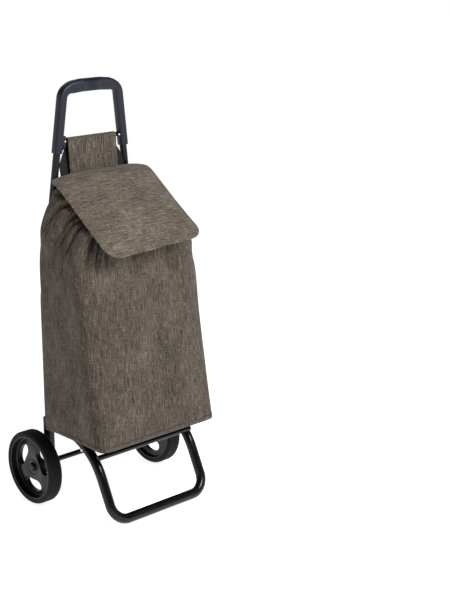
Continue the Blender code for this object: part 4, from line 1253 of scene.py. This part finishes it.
@dataclass
class Bag:
    """Sewn bag that hangs from its loop: flat panels below, and a neck gathered on a drawstring."""

    finishes: Finishes
    chassis: Chassis
    front: float = 0.235
    rear: float = 0.0245
    lean: float = 0.157
    half: float = 0.163
    shoulder_half: float = 0.1585
    crest_half: float = 0.128
    neck_half: float = 0.082
    thickness: float = 0.0012
    columns: int = 400
    rows: int = 104
    pleats: int = 17
    pleat_depth: float = 0.020
    hem_arch: float = 0.004
    corner_drop: float = 0.003
    pleat_lean: float = 0.17
    front_share: float = 0.58
    seed: int = 11

    def levels(self) -> list[tuple[float, float, float, float, float, float]]:
        """Rings that the bag is lofted through.

        Returns:
            Front Y, rear Y, front Z, rear Z, half width and squareness of each.
        """
        low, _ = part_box("bag_body")
        flap_low, flap_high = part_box("bag_flap")
        axle_y = self.chassis.axle_y
        hem, front_z, rear_z = low.z, flap_low.z, flap_high.z
        rear = axle_y - self.rear
        heights = [(hem, hem), (hem + 0.11, hem + 0.11), (hem + 0.24, hem + 0.26),
                   (front_z - 0.060, rear_z - 0.140), (front_z - 0.022, rear_z - 0.088),
                   (front_z + 0.008, rear_z - 0.020), (front_z + 0.034, rear_z - 0.028)]
        halves = [self.half, self.half - 0.0005, self.half - 0.001, self.half, self.shoulder_half,
                  self.crest_half, self.neck_half]
        squares = [18, 16, 13, 11, 9, 6, 3]     # of the rear corners
        made = []
        for (front, back), half, square in zip(heights, halves, squares):
            made.append((axle_y - self.front + self.lean * (front - hem), rear, front, back, half, square))
        made[5] = (made[4][0] + 0.004, axle_y - 0.036, *made[5][2:])
        made[6] = (axle_y - 0.150, axle_y - 0.066, *made[6][2:])
        return made

    def ring(self, level: tuple[float, float, float, float, float, float], inset: float = 0.0,
             ) -> np.ndarray:
        """Evenly spaced points round one level, from the middle of the rear.

        Args:
            level: One of the levels.
            inset: How far inside the ring runs.

        Returns:
            Columns x 3.
        """
        front, rear, front_z, rear_z, half, square = level
        turns = np.linspace(0, 2 * pi, 6001) + pi / 2
        c, s = np.cos(turns), np.sin(turns)
        # The front corners are rounder than the rear ones.
        power = np.where(s < 0, 2 / (3 + (square - 3) * self.front_share), 2 / square)
        reach_x = np.sign(c) * np.abs(c) ** power
        reach_y = np.sign(s) * np.abs(s) ** power
        dense = np.stack([(half - inset) * reach_x, (front + rear) / 2 + ((rear - front) / 2 - inset) * reach_y,
                          front_z + (rear_z - front_z) * (reach_y + 1) / 2], axis=1)
        run = lengths_along(dense)
        wanted = run[-1] * np.arange(self.columns) / self.columns
        return np.stack([np.interp(wanted, run, dense[:, k]) for k in range(3)], axis=1)

    def lofted(self) -> tuple[np.ndarray, np.ndarray]:
        """Smooth shell through the levels, before it is gathered.

        Returns:
            The points, rows x columns x 3, and each row's share from the hem to the neck.
        """
        rings = np.array([self.ring(level) for level in self.levels()])
        heights = rings[:, self.columns // 2, 2]
        knots = lengths_along(rings[:, self.columns // 2])
        share = np.linspace(0, 1, self.rows) ** 0.85
        wanted = share * knots[-1]
        slopes = np.gradient(rings, knots, axis=0)
        slopes[0] = (rings[1] - rings[0]) / (knots[1] - knots[0])
        points = []
        for run in wanted:
            k = int(min(len(heights) - 2, np.searchsorted(knots, run, side="right") - 1))
            gap = knots[k + 1] - knots[k]
            t = (run - knots[k]) / gap
            points.append((2 * t**3 - 3 * t**2 + 1) * rings[k] + (t**3 - 2 * t**2 + t) * gap * slopes[k]
                          + (3 * t**2 - 2 * t**3) * rings[k + 1] + (t**3 - t**2) * gap * slopes[k + 1])
        return np.array(points), share

    def pleat_height(self, around: np.ndarray, up: np.ndarray) -> np.ndarray:
        """How far the cloth stands out in its pleats: round ridges and narrow valleys.

        Args:
            around: Share of the way round, 0 to 1.
            up: Share from where the gathers start, 0, to the neck, 1.

        Returns:
            Height of each point, 0 to 1.
        """
        chance = np.random.default_rng(self.seed)
        widths = chance.uniform(0.5, 1.7, self.pleats)
        edges = np.concatenate(([0.0], np.cumsum(widths) / widths.sum()))
        starts = chance.uniform(0.0, 0.55, self.pleats)
        # The folds run to where each side is gathered most, ahead of its middle.
        turns = 2 * pi * around
        drawn = self.pleat_lean * up * np.sin(turns) * (np.cos(turns) + 0.64)
        swing = 0.010 * np.sin(up * 5.0 + 7.0 * around * pi) - drawn
        place = (around + swing) % 1.0
        index = np.clip(np.searchsorted(edges, place, side="right") - 1, 0, self.pleats - 1)
        within = (place - edges[index]) / (edges[index + 1] - edges[index])
        ridge = np.abs(np.sin(pi * within)) ** 0.62
        grown = ease((up - starts[index]) / (1.0 - starts[index]) * 1.35)
        deep = 0.55 + 0.45 * (edges[index + 1] - edges[index]) * self.pleats
        second = np.abs(np.sin(pi * (2 * within + 0.15))) ** 0.8 * 0.35
        return grown * (ridge * deep + second * ease((up - 0.6) / 0.4))

    def build_shell(self) -> None:
        """Side panels from the hem up to the gathered neck."""
        points, share = self.lofted()
        across = np.roll(points, -1, axis=1) - np.roll(points, 1, axis=1)
        upwards = np.gradient(points, axis=0)
        normals = np.cross(across, upwards)
        normals /= np.linalg.norm(normals, axis=2, keepdims=True)
        if normals[0, self.columns // 2, 1] > 0:
            normals = -normals
        around = np.broadcast_to(np.arange(self.columns) / self.columns, points.shape[:2])
        up = np.broadcast_to(share[:, None], points.shape[:2])
        gather = np.clip((up - 0.70) / 0.30, 0, 1)
        drag = np.clip((up - 0.62) / 0.38, 0, 1)
        height = self.pleat_height(around, drag)
        depth = self.pleat_depth * (0.75 * ease(drag) + 0.25 * ease(gather))
        mean = 0.62
        lift = depth * (height - mean * ease(drag))
        # Broad, shallow waves in the panels, which hang a little slack between their corners.
        slack = 0.0022 * wander(around + 0.15 * up, 3) * np.sin(pi * np.clip(up / 0.8, 0, 1))
        drape = 0.0012 * np.sin(2 * pi * 9 * around + 3 * wander(around, 8)) * ease(up / 0.25)
        points = points + normals * (lift + slack + drape * (1 - ease(drag)))[..., None]
        # The hem arches over the foot's legs, and its corners hang lower.
        hem = points[0]
        middle_y = (hem[:, 1].min() + hem[:, 1].max()) / 2
        cornered = (np.abs(hem[:, 0]) / self.half) ** 4 * np.clip(
            (np.abs(hem[:, 1] - middle_y) / (np.ptp(hem[:, 1]) / 2)) ** 4, 0, 1)
        sides = np.abs(hem[:, 0] / self.half) ** 8 * (1 - cornered)
        arch = self.hem_arch * sides - self.corner_drop * cornered
        points[..., 2] += arch[None, :] * (1 - ease(up / 0.12)) * 0.8
        low_box, high_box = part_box("bag_body")
        points[..., 0] = np.clip(points[..., 0], low_box.x - 0.0065, high_box.x + 0.0065)
        points[..., 1] = np.minimum(points[..., 1], high_box.y + 0.0025)
        # The gathers stay under the flap.
        flap_low, flap_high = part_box("bag_flap")
        slope = (flap_high.z - flap_low.z) / (flap_high.y - flap_low.y)
        cover = flap_high.z - 0.004 + slope * np.minimum(points[..., 1] - flap_high.y, 0)
        points[..., 2] = np.where(up > 0.6, np.minimum(points[..., 2], cover), points[..., 2])

        girth = lengths_along(np.vstack([self.ring(self.levels()[0]), self.ring(self.levels()[0])[:1]]))[-1]
        rise = lengths_along(points[:, self.columns // 2])
        uvs = np.zeros((self.rows, self.columns + 1, 2))
        uvs[..., 0] = np.arange(self.columns + 1)[None, :] / self.columns * girth
        uvs[..., 1] = rise[:, None]
        shell = cloth_piece("bag_body_piece", points, uvs, True)
        dress(shell, self.finishes.cloth, self.finishes.coating)
        with editing(shell):
            bpy.ops.mesh.select_all(action="SELECT")
            bpy.ops.mesh.normals_make_consistent(inside=False)
        self.point_outwards(shell, points[self.rows // 3, self.columns // 2])
        thicken(shell, self.thickness)
        finish_piece(shell, CHASSIS, "cloth", "bag_body")
        self.build_hem(points)
        self.build_tunnel(points)
        self.build_floor()

    def point_outwards(self, shell: Object, outside: np.ndarray) -> None:
        """Flip an open shell if its faces look inwards.

        Args:
            shell: The open shell.
            outside: A point on its front.
        """
        target = Vector(outside)
        face = min(shell.data.polygons, key=lambda polygon: (polygon.center - target).length)
        if face.normal.y > 0:
            with editing(shell):
                bpy.ops.mesh.select_all(action="SELECT")
                bpy.ops.mesh.flip_normals()

    def build_hem(self, points: np.ndarray) -> None:
        """Folded hem: a flat band round the bag's lower edge.

        Args:
            points: The shell's points.
        """
        rows = 5
        lower = points[0]
        outwards = lower - np.array([0.0, (lower[:, 1].min() + lower[:, 1].max()) / 2, 0.0])
        outwards[:, 2] = 0
        outwards /= np.linalg.norm(outwards, axis=1, keepdims=True)
        width, stand = 0.009, 0.0005
        bands = []
        for k in range(rows):
            share = k / (rows - 1)
            swell = stand * sin(pi * min(1.0, share * 1.0 + 0.12)) ** 0.5
            rise = np.array([0.0, 0.0, width * share - 0.0008])
            bands.append(lower + outwards * swell + rise)
        grid = np.array(bands)
        uvs = np.zeros((rows, self.columns + 1, 2))
        uvs[..., 0] = np.arange(self.columns + 1)[None, :] / self.columns
        uvs[..., 1] = (np.arange(rows) / (rows - 1) * width)[:, None]
        hem = cloth_piece("bag_hem", grid, uvs, True)
        with editing(hem):
            bpy.ops.mesh.select_all(action="SELECT")
            bpy.ops.mesh.normals_make_consistent(inside=False)
        self.point_outwards(hem, grid[2, self.columns // 2])
        dress(hem, self.finishes.cloth, self.finishes.coating)
        thicken(hem, self.thickness * 1.5)
        finish_piece(hem, CHASSIS, "cloth")

    def build_tunnel(self, points: np.ndarray) -> None:
        """Rolled tunnel of the drawstring round the neck.

        Args:
            points: The shell's points.
        """
        sides, radius = 10, 0.0042
        neck = points[-1]
        along = np.roll(neck, -1, axis=0) - np.roll(neck, 1, axis=0)
        along /= np.linalg.norm(along, axis=1, keepdims=True)
        up = points[-1] - points[-3]
        up /= np.linalg.norm(up, axis=1, keepdims=True)
        across = np.cross(along, up)
        loops = []
        for k in range(sides):
            turn = 2 * pi * k / sides
            loops.append(neck + up * radius * 0.9 * cos(turn) + across * radius * 0.55 * sin(turn))
        grid = np.array(loops + loops[:1])
        uvs = np.zeros((sides + 1, self.columns + 1, 2))
        uvs[..., 0] = np.arange(self.columns + 1)[None, :] / self.columns
        uvs[..., 1] = (np.arange(sides + 1) / sides * 0.02)[:, None]
        tunnel = cloth_piece("bag_neck_tunnel", grid, uvs, True)
        tidy(tunnel, 80.0)
        finish_piece(dress(tunnel, self.finishes.cloth), CHASSIS, "cloth")

    def build_floor(self) -> None:
        """Bottom panel under the base board, which sags a little between the foot's legs."""
        low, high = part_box("base_board")
        top = low.z - 0.0006
        rings = 14
        hem = self.levels()[0]
        lean = self.lean * (top - hem[2])
        grid = []
        for k in range(rings + 1):
            share = k / rings
            level = (hem[0] + lean + 0.0015, hem[1] - 0.0015, top - 0.0016 * (1 - share) ** 2,
                     top - 0.0016 * (1 - share) ** 2, hem[4] - 0.0015, 8.0)
            middle = np.array([0.0, (level[0] + level[1]) / 2, level[2]])
            grid.append(middle + (self.ring(level) - middle) * np.array([max(share, 0.001)] * 2 + [1.0]))
        points = np.array(grid)
        uvs = np.zeros((rings + 1, self.columns + 1, 2))
        uvs[:, :-1] = points[..., :2]
        uvs[:, -1] = points[:, 0, :2]
        floor = cloth_piece("bag_floor", points, uvs, True)
        tidy(floor, 80.0)
        with editing(floor):
            bpy.ops.mesh.select_non_manifold(use_boundary=True, use_wire=False, use_multi_face=False,
                                             use_non_contiguous=False, use_verts=False)
            pick(floor, lambda co: co.x ** 2 + (co.y - middle[1]) ** 2 < 1e-5)
            bpy.ops.mesh.merge(type="CENTER")
        dress(floor, self.finishes.coating, self.finishes.coating)
        thicken(floor, 0.0008)
        finish_piece(floor, CHASSIS, "cloth")

    def build_trim(self) -> None:
        """The studs that hold the loop's tail."""
        for side in Side:
            low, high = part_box(f"{side.word}_loop_stud")
            middle = (low + high) / 2
            head_r, head = (high.x - low.x) / 2, 0.0016
            stud = turned(f"{side.word}_loop_stud_piece", (middle.x, high.y, middle.z), (0, -1, 0), [
                (0, 0), (0.0001, head_r * 0.5), (0.0006, head_r * 0.85), (head, head_r), (head, 0.002),
                (high.y - low.y, 0.002), (high.y - low.y, 0)], 28)
            finish_piece(dress(stud, self.finishes.zinc), CHASSIS, "zinc", f"{side.word}_loop_stud")

    def build(self) -> None:
        """Build the bag with its trim."""
        self.build_shell()
        self.build_trim()


@dataclass
class Flap:
    """Lid over the bag's neck: one sheet with round front corners, hinged along its rear edge."""

    finishes: Finishes
    corner: float = 0.036
    rear_corner: float = 0.034
    root: float = 0.0275        # cloth behind the hinge, sewn to the band
    spread: float = 0.003
    skew: float = 0.006
    bend: float = 0.008
    thickness: float = 0.0016
    columns: int = 150
    rows: int = 140
    crown: float = 0.010
    stitch_inset: float = 0.006
    stitch_pitch: float = 0.0042

    def __post_init__(self) -> None:
        """Read the flap's corners from its solid."""
        self.low, self.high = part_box("bag_flap")
        self.half = self.high.x + self.spread
        self.rear = Vector((0, self.high.y, self.high.z))
        self.front = Vector((0, self.low.y, self.low.z))
        self.length = (self.front - self.rear).length

    def plan(self, columns: np.ndarray, rows: np.ndarray) -> tuple[np.ndarray, np.ndarray]:
        """Across and down distances on the flat cut, with its corners rounded.

        Args:
            columns: -1 at the left edge to 1 at the right edge.
            rows: 0 at the rear edge to 1 at the front edge.

        Returns:
            Distances across and down, in metres.
        """
        down = rows * (self.length + self.root) - self.root
        over = np.clip(down - (self.length - self.corner), 0, self.corner)
        behind = np.clip(self.rear_corner - self.root - down, 0, self.rear_corner)
        half = self.half - self.corner + np.sqrt(np.maximum(self.corner ** 2 - over ** 2, 0))
        half -= self.rear_corner - np.sqrt(np.maximum(self.rear_corner ** 2 - behind ** 2, 0))
        return columns * half, down

    def row_places(self) -> np.ndarray:
        """Rows' places from 0 to 1, closer together at both ends, where the corners are round."""
        even = np.linspace(0, 1, self.rows)
        return 0.5 * even + 0.25 * (1 - np.cos(pi * even))

    def lifted(self, across: np.ndarray, down: np.ndarray) -> np.ndarray:
        """Place the flat cut on the bag: crowned over the neck, waved along its front edge.

        Args:
            across: Distance from the middle.
            down: Distance from the rear edge.

        Returns:
            Points in the row frame.
        """
        share_x, share_y = across / self.half, np.clip(down / self.length, 0, 1)
        slope = (self.front - self.rear).normalized()
        normal = Vector((0, slope.z, -slope.y))
        normal = -normal if normal.z < 0 else normal
        bulge = self.crown * np.sin(pi * share_y ** 0.8) * (1 - 0.75 * share_x ** 2)
        ripple = 0.0016 * wander(share_x * 0.5 + 0.2 * share_y, 5, 4) * (0.3 + share_y)
        tuck = -0.004 * np.abs(share_x) ** 3 * np.sin(pi * share_y)
        out = bulge + ripple * 0.7 + tuck
        sloped = self.bend * np.logaddexp(0, down / self.bend)
        near = np.exp(-(down + self.root) / 0.05)
        droop = near * np.where(share_x < 0, 0.011, 0.004) * np.abs(share_x) ** 3
        wave = 0.0052 * np.sin(pi / 2 * share_x) - 0.0005
        base = np.array(self.rear) + sloped[..., None] * np.array(slope) + out[..., None] * np.array(normal)
        base[..., 0] += across + self.skew * share_y
        base[..., 1] += sloped - down
        base[..., 2] += 0.003 + 0.004 * near * (1 + share_x) / 2 - droop + wave * share_y ** 2.5
        return base

    def build(self) -> None:
        """Build the sheet with its edge stitching, and bend it at its rear edge."""
        columns, rows = np.meshgrid(np.linspace(-1, 1, self.columns),
                                    self.row_places())
        across, down = self.plan(columns, rows)
        points = self.lifted(across, down)
        uvs = np.stack([across, down], axis=-1)
        flap = cloth_piece("bag_flap_piece", points, uvs, False)
        if flap.data.polygons[len(flap.data.polygons) // 2].normal.z < 0:
            with editing(flap):
                bpy.ops.mesh.select_all(action="SELECT")
                bpy.ops.mesh.flip_normals()
        # The flap's paler cloth is painted light: it stands for the top light on the flap.
        dress(flap, self.finishes.cross_cloth_painted_lit, self.finishes.coating)
        thicken(flap, self.thickness)
        stitches = self.build_stitches()
        for piece in (flap, stitches):
            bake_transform(piece)
        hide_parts("bag_flap")

    def build_stitches(self) -> Object:
        """Row of lockstitches inside the flap's edge, each a small capsule.

        Returns:
            All stitches as one piece.
        """
        inset = self.stitch_inset
        corner = self.corner - inset
        outline = [(-self.half + inset, self.rear_corner - self.root),
                   (-self.half + inset, self.length - self.corner)]
        for sign in (-1, 1):
            turns = np.linspace(0, pi / 2, 12) if sign < 0 else np.linspace(pi / 2, 0, 12)
            outline += [(sign * (self.half - self.corner) + sign * corner * cos(t),
                         self.length - self.corner + corner * sin(t)) for t in turns]
        outline += [(self.half - inset, self.length - self.corner),
                    (self.half - inset, self.rear_corner - self.root)]
        path = np.array(outline)
        run = lengths_along(path)
        count = int(run[-1] / self.stitch_pitch)
        bpy.ops.object.select_all(action="DESELECT")
        bpy.ops.mesh.primitive_uv_sphere_add(segments=6, ring_count=5, radius=1.0)
        pattern = named("stitch_pattern")
        base = np.array([v.co for v in pattern.data.vertices])
        faces = [tuple(polygon.vertices) for polygon in pattern.data.polygons]
        bpy.data.objects.remove(pattern)
        points, all_faces = [], []
        for k in range(count):
            ends = [(k + 0.12) * self.stitch_pitch, (k + 0.88) * self.stitch_pitch]
            flat = np.stack([np.interp(ends, run, path[:, j]) for j in range(2)], axis=1)
            start, stop = self.lifted(flat[:, 0], flat[:, 1])
            along = stop - start
            long = np.linalg.norm(along) / 2
            along /= 2 * long
            normal = np.cross(along, [1.0, 0.3, 0.0])
            normal = normal / np.linalg.norm(normal)
            side = np.cross(along, normal)
            centre = (start + stop) / 2 + np.array([0.0, -0.0001, 0.0002])
            local = base * np.array([0.0004, 0.0004, long])
            offset = len(points) * len(base)
            points.append(centre + local @ np.array([side, normal, along]))
            all_faces += [tuple(v + offset for v in face) for face in faces]
        mesh = bpy.data.meshes.new("flap_stitching")
        mesh.from_pydata(np.concatenate(points).tolist(), [], all_faces)
        stitches = bpy.data.objects.new("flap_stitching", mesh)
        bpy.context.scene.collection.objects.link(stitches)
        dress(stitches, self.finishes.thread)
        return tidy(stitches, 80.0)


@dataclass
class HangerLoop:
    """Band of cloth over the rod: its front ends at the flap, and its tail is studded to the bag."""

    finishes: Finishes
    chassis: Chassis
    half: float = 0.0645
    thickness: float = 0.0014
    clearance: float = 0.0008
    root: float = 0.0265
    bag_rear: float = 0.0240
    tail_flat: float = 0.050
    tail_flare: float = 0.34
    columns: int = 70
    step: float = 0.003

    def path(self) -> np.ndarray:
        """Inner line of the band, from its front end over the rod to the tail's end.

        Returns:
            Points in the plane of symmetry, Y and Z.
        """
        rod_low, rod_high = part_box("loop_rod")
        rod = np.array([(rod_low.y + rod_high.y) / 2, (rod_low.z + rod_high.z) / 2])
        loop_low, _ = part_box("hanger_loop")
        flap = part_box("bag_flap")[1]
        radius = self.chassis.rod_d / 2 + self.clearance
        start = np.array([flap.y + self.root, flap.z - 0.0005])
        tail_y, tail_z = self.chassis.axle_y - self.bag_rear, loop_low.z
        lean = atan((rod[0] - start[0]) / (rod[1] - start[1]))
        knee = tail_z + self.tail_flat
        tail_lean = atan((rod[0] + radius - tail_y) / (rod[1] - knee))
        sweep = pi + lean + tail_lean
        points = [start]
        for k in range(25):
            turn = pi + lean - sweep * k / 24
            points.append(rod + radius * np.array([cos(turn), sin(turn)]))
        points += [np.array([tail_y, knee]), np.array([tail_y, tail_z])]
        dense = np.array(points)
        run = lengths_along(dense)
        count = int(run[-1] / self.step)
        wanted = np.union1d(np.linspace(0, run[-1], count), run)
        return np.stack([np.interp(wanted, run, dense[:, k]) for k in range(2)], axis=1)

    def build(self) -> None:
        """Build the band, with a soft wave across it between the rod and the bag."""
        path = self.path()
        run = lengths_along(path)
        along = np.gradient(path, axis=0)
        along /= np.linalg.norm(along, axis=1, keepdims=True)
        outwards = np.stack([-along[:, 1], along[:, 0]], axis=1)
        share = np.linspace(-1, 1, self.columns)
        grid = np.zeros((len(path), self.columns, 3))
        free = np.sin(pi * np.clip(run / 0.075, 0, 1))
        wave = 0.0016 * wander(share * 0.5, 21, 4)
        over_rod = lengths_along(path)[np.argmax(path[:, 1])]
        flare = 1 + self.tail_flare * ease((run - over_rod - 0.012) / 0.055)
        grid[..., 0] = share[None, :] * self.half * flare[:, None]
        offset = free[:, None] * wave[None, :]
        grid[..., 1] = path[:, :1] + outwards[:, :1] * offset
        grid[..., 2] = path[:, 1:] + outwards[:, 1:] * offset
        uvs = np.zeros((len(path), self.columns, 2))
        uvs[..., 0] = grid[..., 0]
        uvs[..., 1] = run[:, None]
        band = cloth_piece("hanger_loop_piece", grid, uvs, False)
        if band.data.polygons[self.columns // 2].normal.y > 0:
            with editing(band):
                bpy.ops.mesh.select_all(action="SELECT")
                bpy.ops.mesh.flip_normals()
        area = sheet_area(band)
        dress(band, self.finishes.cloth, self.finishes.coating)
        modify(band, "SOLIDIFY", thickness=self.thickness, offset=1.0, material_offset=1)
        select_only(band)
        bpy.ops.object.shade_smooth_by_angle(angle=radians(60))
        finish_piece(band, CHASSIS, "cloth", "hanger_loop")
        log.info("%s: length %.3f, area %.4f", band.name, run[-1], area)


# --- Studio -----------------------------------------------------------------------------------------
@dataclass
class Studio:
    """Plain white floor that glows a little, as a light table does, with soft lights and the camera."""

    camera_place: Vector = field(default_factory=lambda: Vector((-1.7654, -2.2361, 1.2605)))
    heading: float = radians(43.192)
    pitch: float = radians(15.936)
    lens: float = 80.816
    floor_half: float = 40.0
    floor_colour: str = "#fbfbfb"
    floor_glow: float = 0.86
    sky: float = 0.12

    def build_floor(self) -> None:
        """Pale matt floor that reaches past the view."""
        bpy.ops.object.select_all(action="DESELECT")
        bpy.ops.mesh.primitive_plane_add(size=2 * self.floor_half, location=(0, 0, -0.0005))
        floor = named("studio_floor")
        made, _, _ = new_material("matt_white_floor", {
            "Base Color": linear(self.floor_colour), "Roughness": 0.9,
            "Emission Color": linear("#ffffff"), "Emission Strength": self.floor_glow})
        dress(floor, made)

    def add_light(self, name: str, place: Place, target: Place, size: float, power: float) -> None:
        """Square softbox that faces a point.

        Args:
            name: The light's name.
            place: Where it hangs.
            target: What it faces.
            size: Its side.
            power: Watts.
        """
        data = bpy.data.lights.new(name, "AREA")
        data.shape = "SQUARE"
        data.size = size
        data.energy = power
        light = bpy.data.objects.new(name, data)
        light.location = place
        light.rotation_euler = (Vector(place) - Vector(target)).to_track_quat("Z", "Y").to_euler()
        bpy.context.scene.collection.objects.link(light)

    def build(self) -> None:
        """Set the world, the lights and the camera."""
        scene = bpy.context.scene
        scene.view_settings.view_transform = "Standard"
        world = bpy.data.worlds.new("white_studio")
        world.use_nodes = True
        # The sky is white near the horizon, so that the floor has no edge, and dim overhead.
        tree = world.node_tree
        place = add_node(tree, "ShaderNodeTexCoord").outputs["Generated"]
        height = add_node(tree, "ShaderNodeSeparateXYZ", links={"Vector": place}).outputs["Z"]
        tree.links.new(ramp(tree, height, [(0.15, grey(1.0)), (0.23, grey(self.sky))]),
                       tree.nodes["Background"].inputs["Color"])
        scene.world = world
        self.build_floor()
        middle = (0.0, 0.0, 0.45)
        self.add_light("key_softbox", (0.30, -1.42, 1.62), (0.0, 0.0, 0.6), 0.8, 31.0)
        self.add_light("rear_softbox", (0.8, 2.6, 2.2), middle, 1.6, 8.0)
        data = bpy.data.cameras.new("camera")
        data.lens = self.lens
        camera = bpy.data.objects.new("camera", data)
        camera.location = self.camera_place
        camera.rotation_euler = (pi / 2 - self.pitch, 0.0, -self.heading)
        scene.collection.objects.link(camera)
        scene.camera = camera


def dress_cad_nodes(finishes: Finishes) -> None:
    """Give the CAD nodes that still show their finishes.

    Args:
        finishes: The materials.
    """
    looks = {"washer": finishes.zinc, "insert": finishes.zinc,
             "eyelet": finishes.zinc, "board": finishes.board}
    for name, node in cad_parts.items():
        if node.hide_render:
            continue
        word = name.split("_")[-1]
        made = looks.get(word, finishes.fitting)
        for slot in node.material_slots:
            slot.material = made


def main() -> None:
    """Build every piece in order."""
    logging.basicConfig(level=logging.INFO, format="%(name)s %(message)s")
    Studio().build()
    finishes = Finishes()
    chassis = Chassis(finishes)
    chassis.build()
    Wheels(finishes).build()
    Handle(finishes, chassis).build()
    Bag(finishes, chassis).build()
    Flap(finishes).build()
    HangerLoop(finishes, chassis).build()
    dress_cad_nodes(finishes)


if __name__ == "__main__":
    main()
